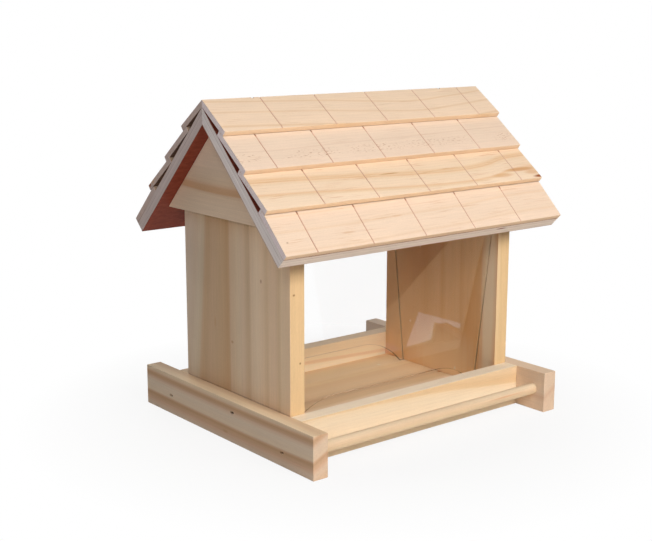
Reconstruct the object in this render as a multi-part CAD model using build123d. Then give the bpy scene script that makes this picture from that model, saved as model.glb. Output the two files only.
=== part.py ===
from build123d import *
import os
from math import asin, atan2, cos, degrees, hypot, radians, sin, sqrt, tan

# A wooden bird feeder house.  A low tray of rails and a floor board carries two end
# walls.  Two clear panes lean in saw-cut grooves in the walls and hold the seed
# between them.  A lift-off roof of film-faced plywood, covered with lapped shingle
# boards, sits on the walls, and its gable boards hang just outside them.
# Millimetres.  X runs along the ridge, -Y is the front, +Z is up, and the origin is
# on the ground under the middle of the house.

# Timber
stock_thickness = 17.5      # planed boards of the rails, the walls and the gables
arris = 0.5                 # sanded edge of every planed board
glue_gap = 0.1              # all round a dowel in its socket
glue_line = 0.05            # between two lapped shingle boards

# Tray
tray_length = 302.0         # between the end rails, along X
tray_depth = 184.0          # between the front and back rails, along Y
rail_height = 44.0
rail_reach = 40.5           # end rail past the front and back rails
floor_thickness = 16.0

# Perches
perch_diameter = 12.0
perch_height = 23.5         # perch axis above the ground
perch_standoff = 23.8       # perch axis off the face of the rail behind it
perch_socket_depth = 10.0
perch_end_gap = 0.5         # left at the bottom of each socket

# End walls
wall_height = 213.0         # from the floor to the shoulders
wall_apex_flat = 4.0        # blunted point of an end wall

# Panes
pane_thickness = 2.0
pane_lean = 7.0             # degrees from upright, the top leaning outwards
pane_inset = 32.6           # pane foot behind the inner face of the rail
pane_headroom = 5.4         # free travel up the groove before the pane meets the roof
pane_side_play = 0.5        # at each end, in the bottom of the groove
groove_width = 3.0
groove_depth = 5.0
foot_width = 10.0           # part of the pane's lower edge that stands on the floor
arch_rise = 27.5            # seed gap under the middle of the pane
arch_radius = 70.0          # round ends of the seed gap

# Roof
roof_pitch = 45.0           # degrees
eave_overhang = 40.7        # along the slope, past the wall's shoulder
verge_overhang = 15.9       # roof end past the gable's outer face
ply_thickness = 12.0
gable_gap = 1.6             # between a gable board and the wall inside it
gable_apex_flat = 2.0
cord_hole_diameter = 3.0
cord_hole_inset = 6.5       # hole axis inside the wall's inner face

# Shingle boards
course_count = 4
shingle_thickness = 5.7
shingle_overlap = 8.0       # lower end of a board over the board below it
kerf_width = 1.4            # mouth of the V-shaped saw cut
kerf_depth = 1.1
kerf_pitch = 68.0
kerf_first = {1: 32.2, 0: 36.6}   # first kerf from the roof's end, odd and even courses
kerf_last = 20.0            # least width left beyond the last kerf

# Nails
nail_diameter = 1.8
nail_length = 35.0
nail_head_diameter = 2.6
nail_head_height = 1.2
nail_sink = 0.8             # head punched below the face
nail_gap = 0.05             # all round a nail in its hole
corner_nail_height = {-1: 14.0, 1: 20.5}           # at the front rail and the back rail
corner_nail_drift = {-1: -1.0, 1: -2.6}            # off the middle of the rail's end
wall_nail_place = {-1: (-18.0, 32.0), 1: (-29.0, 25.5)}   # Y and Z, left and right wall
roof_nail_length = 30.0
roof_nail_slope = (35.0, 95.0)    # down the slope from the inner ridge

# Places that follow from the sizes above
wall_outer_x = tray_length / 2
wall_inner_x = wall_outer_x - stock_thickness
rail_inner_y = tray_depth / 2
rail_outer_y = rail_inner_y + stock_thickness
end_rail_outer_x = wall_outer_x + stock_thickness
pitch = radians(roof_pitch)
lean = radians(pane_lean)
shoulder_z = floor_thickness + wall_height
ridge_z = shoulder_z + rail_inner_y * tan(pitch)    # underside of the plywood
slope_length = rail_inner_y / cos(pitch) + eave_overhang
gable_inner_x = wall_outer_x + gable_gap
gable_outer_x = gable_inner_x + stock_thickness
roof_length = 2 * (gable_outer_x + verge_overhang)
pane_foot_y = rail_inner_y - pane_inset
perch_y = rail_outer_y + perch_standoff
cord_hole_x = wall_inner_x - cord_hole_inset

SIDES = {"front": -1, "back": 1}
ENDS = {"left": -1, "right": 1}


def prism(points, low_x, high_x):
    """Extrude an outline of (y, z) points along X."""
    outline = Polyline(*[(low_x, y, z) for y, z in points], close=True)
    return extrude(make_face(outline), amount=high_x - low_x, dir=(1, 0, 0))


def board(size_x, size_y, size_z, centre):
    """A planed board with sanded edges."""
    blank = Box(size_x, size_y, size_z)
    return Pos(*centre) * chamfer(blank.edges(), arris)


def on_side(part, side):
    """Parts are drawn for the front; the back ones are their mirror image."""
    return part if side < 0 else mirror(part, about=Plane.XZ)


def slope_point(down, out):
    """(y, z) on the front slope: down from the inner ridge, out from the underside."""
    y = -down * cos(pitch) - out * sin(pitch)
    z = ridge_z - down * sin(pitch) + out * cos(pitch)
    return y, z


def nail(length, gap=0.0):
    """A lost-head nail along +X, with the top of its head at the origin."""
    head_radius = nail_head_diameter / 2 + gap
    shank_radius = nail_diameter / 2 + gap
    head = Cylinder(head_radius, nail_head_height, rotation=(0, 90, 0))
    shank = Cylinder(shank_radius, length, rotation=(0, 90, 0))
    return Pos(nail_head_height / 2, 0, 0) * head + Pos(length / 2, 0, 0) * shank


# Nails of the tray: one through each end rail into the end of the front rail, one
# into the back rail and one into the foot of the wall.
def frame_nail_places():
    places = []
    for end in ENDS.values():
        for side in SIDES.values():
            middle_y = side * (rail_inner_y + stock_thickness / 2)
            places.append((end, middle_y + corner_nail_drift[side], corner_nail_height[side]))
        places.append((end, *wall_nail_place[end]))
    return places


def frame_nail(end, y, z, gap=0.0):
    """One nail, driven inwards from the end rail's outer face."""
    driven = nail(nail_length, gap)
    if gap:
        mouth = Cylinder(nail_head_diameter / 2 + gap, 2 * nail_sink, rotation=(0, 90, 0))
        driven += mouth
    if end > 0:
        driven = mirror(driven, about=Plane.YZ)
    return Pos(end * (end_rail_outer_x - nail_sink), y, z) * driven


def frame_nail_holes():
    return [frame_nail(*place, gap=nail_gap) for place in frame_nail_places()]


def end_rail(end):
    depth = 2 * (rail_outer_y + rail_reach)
    centre_x = end * (wall_outer_x + stock_thickness / 2)
    rail = board(stock_thickness, depth, rail_height, (centre_x, 0, rail_height / 2))
    for side in SIDES.values():
        socket = Cylinder(perch_diameter / 2 + glue_gap, 2 * perch_socket_depth, rotation=(0, 90, 0))
        rail -= Pos(end * wall_outer_x, side * perch_y, perch_height) * socket
    return rail - frame_nail_holes()


def long_rail(side):
    centre_y = side * (rail_inner_y + stock_thickness / 2)
    rail = board(tray_length, stock_thickness, rail_height, (0, centre_y, rail_height / 2))
    return rail - frame_nail_holes()


def floor_board():
    return board(tray_length, tray_depth, floor_thickness, (0, 0, floor_thickness / 2))


def perch(side):
    length = tray_length + 2 * (perch_socket_depth - perch_end_gap)
    dowel = Cylinder(perch_diameter / 2, length, rotation=(0, 90, 0))
    dowel = chamfer(dowel.edges().filter_by(GeomType.CIRCLE), arris)
    return Pos(0, side * perch_y, perch_height) * dowel


# The front pane's own plane: local x along the house, local y up the groove.
pane_plane = Plane(
    origin=(0, -pane_foot_y, floor_thickness),
    x_dir=(1, 0, 0),
    z_dir=(0, -cos(lean), -sin(lean)),
)
seat_lift = pane_thickness / 2 * tan(lean)    # puts the lower corner on the floor
groove_run = (ridge_z - floor_thickness - pane_foot_y * tan(pitch)) / (cos(lean) + sin(lean) * tan(pitch))
pane_height = groove_run - pane_headroom
pane_half = wall_inner_x + groove_depth - pane_side_play


def pane_outline():
    """Upright sheet with an arched lower edge between its two feet."""
    foot = pane_half - foot_width
    arch_centre = foot - sqrt(arch_radius**2 - (arch_radius - arch_rise) ** 2)
    middle_height = arch_rise - arch_radius
    start = atan2(arch_radius - arch_rise, foot - arch_centre)
    sweep = 90 - degrees(start)
    edges = []
    for end in ENDS.values():
        first_angle = 90 - sweep if end > 0 else 90
        edges.append(CenterArc((end * arch_centre, middle_height), arch_radius, first_angle, sweep))
        edges.append(Line((end * foot, 0), (end * pane_half, 0)))
        edges.append(Line((end * pane_half, 0), (end * pane_half, pane_height)))
    edges.append(Line((-arch_centre, arch_rise), (arch_centre, arch_rise)))
    edges.append(Line((-pane_half, pane_height), (pane_half, pane_height)))
    return make_face(edges)


def pane(side):
    sheet = extrude(pane_outline(), amount=pane_thickness / 2, both=True)
    return on_side(pane_plane * Pos(0, seat_lift, 0) * sheet, side)


def pane_grooves(side):
    """One slab as wide as both grooves, cut from each wall in turn."""
    past_both_ends = 4 * groove_run
    slab = Box(2 * (wall_inner_x + groove_depth), past_both_ends, groove_width)
    return on_side(pane_plane * slab, side)


def house_outline(base_z, apex_flat, low_z):
    """A board under the roof: upright to base_z, then the roof's slope to a flat."""
    flat_z = ridge_z - apex_flat / 2 * tan(pitch)
    right = [(rail_inner_y, base_z), (apex_flat / 2, flat_z)]
    left = [(-y, z) for y, z in reversed(right)]
    feet = [(-rail_inner_y, low_z), (rail_inner_y, low_z)] if low_z < base_z else []
    return feet + right + left


def end_wall(end):
    low_x, high_x = sorted((end * wall_inner_x, end * wall_outer_x))
    wall = prism(house_outline(shoulder_z, wall_apex_flat, floor_thickness), low_x, high_x)
    wall = chamfer(wall.edges(), arris)
    for side in SIDES.values():
        wall -= pane_grooves(side)
    return wall - frame_nail_holes()


# Roof.  Every outline is drawn on the front slope.
def cord_holes():
    drill = Cylinder(cord_hole_diameter / 2, ridge_z)
    return [Pos(end * cord_hole_x, 0, ridge_z) * drill for end in ENDS.values()]


def roof_nail(end, side, down, gap=0.0):
    """A nail square through the plywood into the edge of a gable board."""
    y, z = slope_point(down, ply_thickness)
    driven = Rot(0, 90, 0) * nail(roof_nail_length, gap)
    middle_x = end * (gable_inner_x + gable_outer_x) / 2
    return on_side(Pos(middle_x, y, z) * Rot(roof_pitch, 0, 0) * driven, side)


def roof_nails(gap=0.0):
    return [
        roof_nail(end, side, down, gap)
        for end in ENDS.values()
        for side in SIDES.values()
        for down in roof_nail_slope
    ]


def roof_panel(side):
    """Plywood slope: mitred at the ridge, cut square at the eave."""
    outline = [
        slope_point(0, 0),
        slope_point(slope_length, 0),
        slope_point(slope_length, ply_thickness),
        slope_point(-ply_thickness * tan(pitch), ply_thickness),
    ]
    panel = on_side(prism(outline, -roof_length / 2, roof_length / 2), side)
    return panel - cord_holes() - roof_nails(nail_gap)


def gable_board(end):
    low_x, high_x = sorted((end * gable_inner_x, end * gable_outer_x))
    gable = prism(house_outline(shoulder_z, gable_apex_flat, shoulder_z), low_x, high_x)
    return gable - roof_nails(nail_gap)


# Shingles.  The lowest board lies flat on the plywood.  Each board above it has its
# upper end on the plywood and its underside on the upper corner of the board below,
# so a wedge-shaped gap stays open under it.  The top boards lie on the plywood's
# ridge instead and are mitred together.
ridge_run = (ply_thickness + shingle_thickness / 2) * tan(pitch)
course_exposure = (slope_length + ridge_run) / course_count
shingle_width = course_exposure + shingle_overlap


def course_line(course):
    """Upper end of a course's underside (down, out) and its tilt, lowest course last."""
    if course == course_count:
        return slope_length - shingle_width, ply_thickness, 0.0
    prop_down, prop_out = upper_corner(course + 1)
    rise = prop_out - ply_thickness
    if course > 1:
        run = sqrt(course_exposure**2 - rise**2)
        return prop_down - run, ply_thickness, asin(rise / course_exposure)
    ridge_down = -ply_thickness * tan(pitch)
    return ridge_down, ply_thickness, atan2(rise, prop_down - ridge_down)


def upper_corner(course):
    """Top corner of a course's upper end, with the glue on which the next board up rests."""
    down, out, tilt = course_line(course)
    above = shingle_thickness + glue_line
    return down - above * sin(tilt), out + above * cos(tilt)


def course_length(course):
    if course > 1:
        return shingle_width
    down, out, _ = course_line(1)
    prop_down, prop_out = upper_corner(2)
    return hypot(prop_down - down, prop_out - out) + shingle_overlap


def course_point(course, along, above):
    """(y, z) on the front slope: along a board from its upper end, above its underside."""
    down, out, tilt = course_line(course)
    along_down = along * cos(tilt) - above * sin(tilt)
    along_out = along * sin(tilt) + above * cos(tilt)
    return slope_point(down + along_down, out + along_out)


def course_outline(course):
    """Section of one board; the upper end of the top one leans back to its mitre."""
    tilt = course_line(course)[2]
    mitre = -shingle_thickness * tan(pitch - tilt) if course == 1 else 0
    length = course_length(course)
    return [
        course_point(course, 0, 0),
        course_point(course, length, 0),
        course_point(course, length, shingle_thickness),
        course_point(course, mitre, shingle_thickness),
    ]


def kerf_places(course):
    """Kerfs start from the right-hand end on odd courses, from the left on even ones."""
    first = kerf_first[course % 2]
    count = int((roof_length - first - kerf_last) / kerf_pitch) + 1
    direction = -1 if course % 2 else 1
    return [direction * (first + step * kerf_pitch - roof_length / 2) for step in range(count)]


def kerf(course, x):
    """V-shaped saw cut square across a board, drawn past both ends and above the face."""
    past_end = 2 * shingle_thickness
    start, stop = -past_end, course_length(course) + past_end
    bottom, proud = shingle_thickness - kerf_depth, shingle_thickness + kerf_depth
    point_y, point_z = course_point(course, start, bottom)
    mouth_y, mouth_z = course_point(course, start, proud)
    stop_y, stop_z = course_point(course, stop, bottom)
    mouth = [(x + reach, mouth_y, mouth_z) for reach in (-kerf_width, kerf_width)]
    section = make_face(Polyline((x, point_y, point_z), *mouth, close=True))
    along = (0, stop_y - point_y, stop_z - point_z)
    return extrude(section, amount=stop - start, dir=along)


def shingle(side, course):
    half = roof_length / 2
    blank = prism(course_outline(course), -half, half)
    exposed_end = blank.faces().sort_by(Axis.Z)[0]
    blank = chamfer(exposed_end.edges().filter_by(Axis.X), arris)
    for x in kerf_places(course):
        blank -= kerf(course, x)
    blank = on_side(blank, side)
    return blank - cord_holes() if course == 1 else blank


def build():
    nodes = {"floor_board": floor_board()}
    for name, end in ENDS.items():
        nodes[f"end_rail_{name}"] = end_rail(end)
        nodes[f"end_wall_{name}"] = end_wall(end)
        nodes[f"gable_board_{name}"] = gable_board(end)
    for name, side in SIDES.items():
        nodes[f"{name}_rail"] = long_rail(side)
        nodes[f"perch_{name}"] = perch(side)
        nodes[f"pane_{name}"] = pane(side)
        nodes[f"roof_panel_{name}"] = roof_panel(side)
        for course in range(1, course_count + 1):
            nodes[f"shingle_{name}_{course}"] = shingle(side, course)
    nodes["frame_nails"] = Compound([frame_nail(*place) for place in frame_nail_places()])
    nodes["roof_nails"] = Compound(roof_nails())
    return nodes


os.makedirs("parts", exist_ok=True)
for node_name, node_part in build().items():
    export_step(node_part, f"parts/{node_name}.step")
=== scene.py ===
"""The look of a wooden bird feeder.

Pine boards make a low tray and two end walls, clear panes lean in saw-cut grooves,
and a lift-off roof of film-faced plywood carries four lapped courses of sawn pine
shingle boards on each slope.  Sizes are written in millimetres and turned to metres
when a mesh is made.  X runs along the ridge, -Y is the front, +Z is up.
"""

import math
import random

import bmesh
import bpy
from mathutils import Matrix, Vector


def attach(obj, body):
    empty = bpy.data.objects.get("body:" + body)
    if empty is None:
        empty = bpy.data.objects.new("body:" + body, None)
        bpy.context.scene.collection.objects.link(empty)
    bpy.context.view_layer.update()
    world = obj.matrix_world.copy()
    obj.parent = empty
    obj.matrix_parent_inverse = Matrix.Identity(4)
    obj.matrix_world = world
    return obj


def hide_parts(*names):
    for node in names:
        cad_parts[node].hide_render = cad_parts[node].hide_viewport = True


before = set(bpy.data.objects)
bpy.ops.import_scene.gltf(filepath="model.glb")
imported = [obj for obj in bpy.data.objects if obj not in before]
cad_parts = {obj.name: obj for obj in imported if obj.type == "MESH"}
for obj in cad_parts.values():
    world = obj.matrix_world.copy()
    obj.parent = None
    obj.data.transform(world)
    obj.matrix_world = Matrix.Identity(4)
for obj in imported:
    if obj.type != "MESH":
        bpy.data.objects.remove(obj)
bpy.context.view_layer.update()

MM = 0.001

# Timber and tray
STOCK = 17.5
TRAY_LENGTH = 302.0
TRAY_DEPTH = 184.0
RAIL_HEIGHT = 44.0
RAIL_REACH = 40.5
FLOOR = 16.0
ARRIS = 0.6
ARRIS_STEPS = 4
WALL_X = TRAY_LENGTH / 2
END_X = WALL_X + STOCK
RAIL_Y = TRAY_DEPTH / 2
FRONT_Y = RAIL_Y + STOCK
END_Y = FRONT_Y + RAIL_REACH

# Perches
PERCH_RADIUS = 6.0
PERCH_Y = FRONT_Y + 23.8
PERCH_Z = 23.5
PERCH_SOCKET = 10.0
PERCH_PLAY = 0.1
DOWEL_SIDES = 48
DOWEL_STEPS = 40
DOWEL_EASE = 0.5
DOWEL_WEAR = 0.04

# Walls and roof
SHOULDER = FLOOR + 213.0
PITCH = math.radians(45.0)
RIDGE = SHOULDER + RAIL_Y * math.tan(PITCH)
SLOPE = RAIL_Y / math.cos(PITCH) + 40.7
PLY = 12.0
VENEERS = 7
VENEER_CUT_BACK = 0.18
GLUE_LINE = 0.03
GABLE_X = WALL_X + 1.6
ROOF_X = GABLE_X + STOCK + 15.9
CORD_X = WALL_X - STOCK - 6.5
CORD_RADIUS = 1.5
CORD_DRILL_DROP = 10
CORD_DRILL_LENGTH = 60

# Panes
LEAN = math.radians(7.0)
PANE_Y = RAIL_Y - 32.6
PANE_THICKNESS = 2.0
GROOVE_WIDTH = 3.0
GROOVE_DEPTH = 5.0
PANE_HEADROOM = 5.4
PANE_HALF = WALL_X - STOCK + GROOVE_DEPTH - 0.5
PANE_FOOT = 10.0
ARCH_RISE = 27.5
ARCH_RADIUS = 70.0
ARCH_STEPS = 24
PANE_EASE = 0.15

# Shingle boards
COURSES = 4
SHINGLE = 5.7
OVERLAP = 8.0
GLUE = 0.05
KERF_WIDTH = 1.4
KERF_DEPTH = 1.1
KERF_PITCH = 68.0
FIRST_KERF = {1: 32.2, 0: 36.6}
KERF_COUNT = 5
KERF_SKEW = 0.006
SHINGLE_ARRIS = 0.55
MITRE_SPARE = 8

# Nails
NAIL = {"shank": 0.9, "head": 1.3, "head_height": 1.2, "sink": 0.8, "length": 35.0, "point": 3.0}
ROOF_NAIL_LENGTH = 30.0
# How far below its top the domed head has its crown and its full width.
DOME = (0.04, 0.15)
# Half length along the grain and half height of the torn pits, and the shank's play.
CRATER_WALL = (1.8, 1.36)
CRATER_CORNER = (1.5, 1.36)
CRATER_SIDES = 24
NAIL_PLAY = 0.02
CORNER_NAIL_Z = {-1: 14.0, 1: 20.5}
CORNER_NAIL_DRIFT = {-1: -1.0, 1: -2.6}
WALL_NAIL = {-1: (-18.0, 32.0), 1: (-29.0, 25.5)}
ROOF_NAIL_DOWN = (35.0, 95.0)

SIDES = {"front": -1, "back": 1}
ENDS = {"left": -1, "right": 1}


# ---------------------------------------------------------------- node helpers

FAMILIES = ("GeometryNode", "FunctionNode", "NodeGroup")


def linear(hex_code):
    """An sRGB hex value as a linear RGBA colour."""
    channels = [int(hex_code[place : place + 2], 16) / 255 for place in (1, 3, 5)]
    bright = [((c + 0.055) / 1.055) ** 2.4 if c > 0.04045 else c / 12.92 for c in channels]
    return (*bright, 1.0)


def add(tree, kind, inputs=None, **settings):
    """Adds a node, sets its settings, and fills or links its inputs.

    inputs are given by name or number in a dict, or in order in a tuple.  A kind that
    names no family is a shader node's, and a value like "#ffffff" is a colour.
    """
    family = "" if kind.startswith(FAMILIES) else "ShaderNode"
    made = tree.nodes.new(family + kind)
    for key, value in settings.items():
        setattr(made, key, value)
    filled = inputs.items() if isinstance(inputs, dict) else enumerate(inputs or ())
    for key, value in filled:
        if isinstance(value, bpy.types.Node):
            value = value.outputs[0]
        if isinstance(value, str) and value.startswith("#"):
            value = linear(value)
        if isinstance(value, bpy.types.NodeSocket):
            tree.links.new(value, made.inputs[key])
        else:
            made.inputs[key].default_value = value
    return made


def stretched_noise(tree, place, lengths, detail, roughness=0.5):
    """Noise whose spots have these lengths, in the units of place, along its three axes."""
    shares = tuple(1 / length for length in lengths)
    scaled = add(tree, "VectorMath", (place, shares), operation="MULTIPLY")
    return add(tree, "TexNoise", {"Vector": scaled, "Scale": 1.0, "Detail": detail, "Roughness": roughness})


def set_ramp(ramp_node, stops):
    """Fills a Color Ramp with (place, colour) stops."""
    ramp = ramp_node.color_ramp
    while len(ramp.elements) > 1:
        ramp.elements.remove(ramp.elements[-1])
    for index, (place, colour) in enumerate(stops):
        stop = ramp.elements[0] if index == 0 else ramp.elements.new(place)
        stop.position = place
        stop.color = linear(colour)


def open_sockets(tree, direction, kind, *labels):
    """Gives a node group inputs or outputs of one kind."""
    for label in labels:
        tree.interface.new_socket(name=label, in_out=direction, socket_type=f"NodeSocket{kind}")


def empty_material(name):
    """A material whose tree holds nothing yet."""
    material = bpy.data.materials.new(name)
    material.use_nodes = True
    material.node_tree.nodes.clear()
    return material, material.node_tree


# ---------------------------------------------------------------- mesh helpers


def placed(name, data):
    """An object that shows this mesh, lamp or camera."""
    thing = bpy.data.objects.new(name, data)
    bpy.context.scene.collection.objects.link(thing)
    return thing


def as_piece(name, mesh, body, material, replaced):
    """Links a mesh as a finished piece that rides on a body and stands for CAD nodes."""
    piece = placed(name, mesh)
    if not mesh.materials:
        for one in material if isinstance(material, tuple) else (material,):
            mesh.materials.append(one)
    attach(piece, body)
    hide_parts(*replaced)
    return piece


def to_mesh(shape, name):
    """Turns a bmesh in millimetres into a mesh in metres with outward faces."""
    bmesh.ops.recalc_face_normals(shape, faces=shape.faces)
    bmesh.ops.scale(shape, vec=(MM, MM, MM), verts=shape.verts)
    mesh = bpy.data.meshes.new(name)
    shape.to_mesh(mesh)
    shape.free()
    return mesh


def loft(loops):
    """A solid through loops of points, each loop with the same number of points."""
    shape = bmesh.new()
    rings = [[shape.verts.new(point) for point in loop] for loop in loops]
    count = len(rings[0])
    for ring, following in zip(rings, rings[1:]):
        for step in range(count):
            after = (step + 1) % count
            shape.faces.new((ring[step], ring[after], following[after], following[step]))
    shape.faces.new(rings[0])
    shape.faces.new(rings[-1])
    return shape


def round_edges(shape, radius, steps=ARRIS_STEPS):
    """Rounds all edges, as a sanding block does."""
    bmesh.ops.recalc_face_normals(shape, faces=shape.faces)
    made = bmesh.ops.bevel(
        shape, geom=list(shape.edges), offset=radius, segments=steps, profile=0.5, affect="EDGES",
        clamp_overlap=True
    )
    for face in made["faces"]:
        face.smooth = True
    return shape


def prism(outline, low_x, high_x):
    """A solid with an outline of (y, z) points, along X."""
    return loft([[(x, y, z) for y, z in outline] for x in (low_x, high_x)])


def block(low, high):
    outline = [(low[1], low[2]), (high[1], low[2]), (high[1], high[2]), (low[1], high[2])]
    return prism(outline, low[0], high[0])


def rod(start, direction, radius, length, sides=32):
    """A closed round rod, used as a drill."""
    turn = Vector((0, 0, 1)).rotation_difference(Vector(direction))
    shape = bmesh.new()
    bmesh.ops.create_cone(
        shape, cap_ends=True, segments=sides, radius1=radius, radius2=radius, depth=length
    )
    middle = Vector(start) + Vector(direction).normalized() * length / 2
    bmesh.ops.transform(shape, matrix=Matrix.Translation(middle) @ turn.to_matrix().to_4x4(),
                        verts=shape.verts)
    return shape


def carve(shape, cutters, name):
    """Cuts other solids out of a board, and gives the result as a mesh in metres."""
    board = placed(name, to_mesh(shape, name))
    tools = []
    for cutter in cutters:
        tool = placed("cutter", to_mesh(cutter, "cutter"))
        step = board.modifiers.new("cut", "BOOLEAN")
        step.operation = "DIFFERENCE"
        step.solver = "EXACT"
        step.object = tool
        tools.append(tool)
    mesh = evaluated_mesh(board, name)
    for tool in tools + [board]:
        bpy.data.objects.remove(tool)
    return mesh


def evaluated_mesh(thing, name):
    """The plain mesh that an object's modifiers make."""
    bpy.context.view_layer.update()
    graph = bpy.context.evaluated_depsgraph_get()
    mesh = bpy.data.meshes.new_from_object(thing.evaluated_get(graph), depsgraph=graph)
    mesh.name = name
    return mesh


def grown(tree, name, inputs, start=None):
    """The plain mesh that a Geometry Nodes tree makes of a mesh, or of nothing."""
    holder = placed(name, start or bpy.data.meshes.new(name))
    step = holder.modifiers.new(name, "NODES")
    step.node_group = tree
    for item in tree.interface.items_tree:
        if item.item_type == "SOCKET" and item.in_out == "INPUT" and item.name in inputs:
            step[item.identifier] = inputs[item.name]
    mesh = evaluated_mesh(holder, name)
    bpy.data.objects.remove(holder)
    return mesh


# ---------------------------------------------------------------- wood


def fibre_group():
    """Fine structure of planed pine, shared by every board.

    Board is a place in millimetres with x along the grain, and Figure is the place
    across the growth rings.  Tone multiplies the colour and Warmth reddens it, Feather
    moves the edges of bands by a fraction of a millimetre, Height is in millimetres.
    """
    tree = bpy.data.node_groups.new("pine_fibres", "ShaderNodeTree")
    open_sockets(tree, "INPUT", "Vector", "Board")
    open_sockets(tree, "INPUT", "Float", "Figure", "Ring Pitch", "Ring Strength")
    open_sockets(tree, "OUTPUT", "Float", "Tone", "Warmth", "Feather", "Height")
    source = add(tree, "NodeGroupInput").outputs
    # Fibres are about 0.03 mm wide; bundles of 0.7 mm are the finest that show.
    fibre = stretched_noise(tree, source["Board"], (26, 0.7, 0.7), 4.0, 0.65)
    # Pores and torn fibre ends: a fine short speckle.
    pore = stretched_noise(tree, source["Board"], (2.6, 0.9, 0.9), 2.0, 0.6)
    pore_tone = add(tree, "MapRange", {
        "Value": pore, "From Min": 0.3, "From Max": 0.7, "To Min": 0.972, "To Max": 1.022,
    })
    # Soft streaks, a few millimetres wide and a hand long.
    streak = stretched_noise(tree, source["Board"], (130, 2.8, 2.8), 3.0, 0.6)
    # Broad clouds where the plane took more or less off.
    cloud = stretched_noise(tree, source["Board"], (55, 24, 24), 1.0)
    # Growth rings: pale early wood that darkens to a thin line of late wood.
    wobble = add(tree, "Math", (streak, 2.4, source["Figure"]), operation="MULTIPLY_ADD")
    turns = add(tree, "Math", (wobble, source["Ring Pitch"]), operation="DIVIDE")
    phase = add(tree, "Math", (turns,), operation="FRACT")
    late_wood = add(tree, "Math", (phase, 3.0), operation="POWER")
    ring = add(tree, "Math", (late_wood, source["Ring Strength"]), operation="MULTIPLY")
    # Resin ducts: short thin dark dashes along the grain.
    duct = stretched_noise(tree, source["Board"], (4.5, 0.7, 0.7), 0.0)
    dash = add(tree, "MapRange", {
        "Value": duct, "From Min": 0.78, "From Max": 0.88, "To Min": 0.0, "To Max": 0.06,
    })
    fibre_tone = add(tree, "MapRange", {
        "Value": fibre, "From Min": 0.3, "From Max": 0.7, "To Min": 0.955, "To Max": 1.04,
    })
    streak_tone = add(tree, "MapRange", {
        "Value": streak, "From Min": 0.3, "From Max": 0.7, "To Min": 0.968, "To Max": 1.026,
    })
    cloud_tone = add(tree, "MapRange", {
        "Value": cloud, "From Min": 0.3, "From Max": 0.7, "To Min": 0.985, "To Max": 1.015,
    })
    speckled = add(tree, "Math", (fibre_tone, pore_tone), operation="MULTIPLY")
    fine = add(tree, "Math", (speckled, streak_tone), operation="MULTIPLY")
    broad = add(tree, "Math", (fine, cloud_tone), operation="MULTIPLY")
    less_ring = add(tree, "Math", (broad, ring), operation="SUBTRACT")
    tone = add(tree, "Math", (less_ring, dash), operation="SUBTRACT")
    warmth = add(tree, "Math", (ring, dash), operation="ADD")
    fibre_shift = add(tree, "Math", (fibre, 0.6, -0.3), operation="MULTIPLY_ADD")
    streak_shift = add(tree, "Math", (streak, 1.0, -0.5), operation="MULTIPLY_ADD")
    feather = add(tree, "Math", (fibre_shift, streak_shift), operation="ADD")
    raised = add(tree, "Math", (late_wood, 0.015), operation="MULTIPLY")
    height = add(tree, "Math", (fibre, 0.05, raised), operation="MULTIPLY_ADD")
    add(tree, "NodeGroupOutput", {"Tone": tone, "Warmth": warmth, "Feather": feather, "Height": height})
    return tree


PINE_FIBRES = fibre_group()


def drift_curve(tree, u, drift):
    """How far the growth rings have moved across the face at a place along the grain."""
    span = 100.0
    reach = max(length for length, _ in drift)
    share = add(tree, "Math", (u, reach), operation="DIVIDE", use_clamp=True)
    curve = add(tree, "FloatCurve", {"Value": share})
    points = curve.mapping.curves[0].points
    for index, (length, shift) in enumerate(drift):
        spot = (length / reach, 0.5 + shift / span)
        if index in (0, len(drift) - 1):
            points[0 if index == 0 else -1].location = spot
        else:
            points.new(*spot)
    curve.mapping.update()
    centred = add(tree, "Math", (curve, -0.5), operation="ADD")
    return add(tree, "Math", (centred, span), operation="MULTIPLY")


def stains_and_painted_light(tree, board, ragged, shown, marks):
    """Knots, resin spots and other marks, some of them painted shade or light: soft-edged spots of another
    colour.
    """
    for centre, radii, shade, strength in marks:
        offset = add(tree, "VectorMath", (board, centre), operation="SUBTRACT")
        size = add(tree, "VectorMath", (offset, tuple(1 / r for r in radii)), operation="MULTIPLY")
        away = add(tree, "VectorMath", (size,), operation="LENGTH")
        uneven = add(tree, "Math", (ragged, 0.6, away.outputs["Value"]), operation="MULTIPLY_ADD")
        near = add(tree, "MapRange", {
            "Value": uneven, "From Min": 0.35, "From Max": 1.2, "To Min": strength, "To Max": 0.0,
        },
                   interpolation_type="SMOOTHSTEP")
        shown = add(tree, "Mix", {"Factor": near, 6: shown, 7: shade}, data_type="RGBA").outputs[2]
    return shown


def wisped(tree, board, shown, wisps):
    """Thin broken brown lines of resin along the grain, in loose patches."""
    shade, strength = wisps
    line = stretched_noise(tree, board, (38, 1.5, 1.5), 2.0, 0.6)
    thin = add(tree, "MapRange", {"Value": line, "From Min": 0.54, "From Max": 0.68})
    patch = stretched_noise(tree, board, (60, 11, 11), 1.0)
    patchy = add(tree, "MapRange", {"Value": patch, "From Min": 0.46, "From Max": 0.62, "To Max": strength})
    shows = add(tree, "Math", (thin, patchy), operation="MULTIPLY")
    return add(tree, "Mix", {"Factor": shows, 6: shown, 7: shade}, data_type="RGBA").outputs[2]


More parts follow.
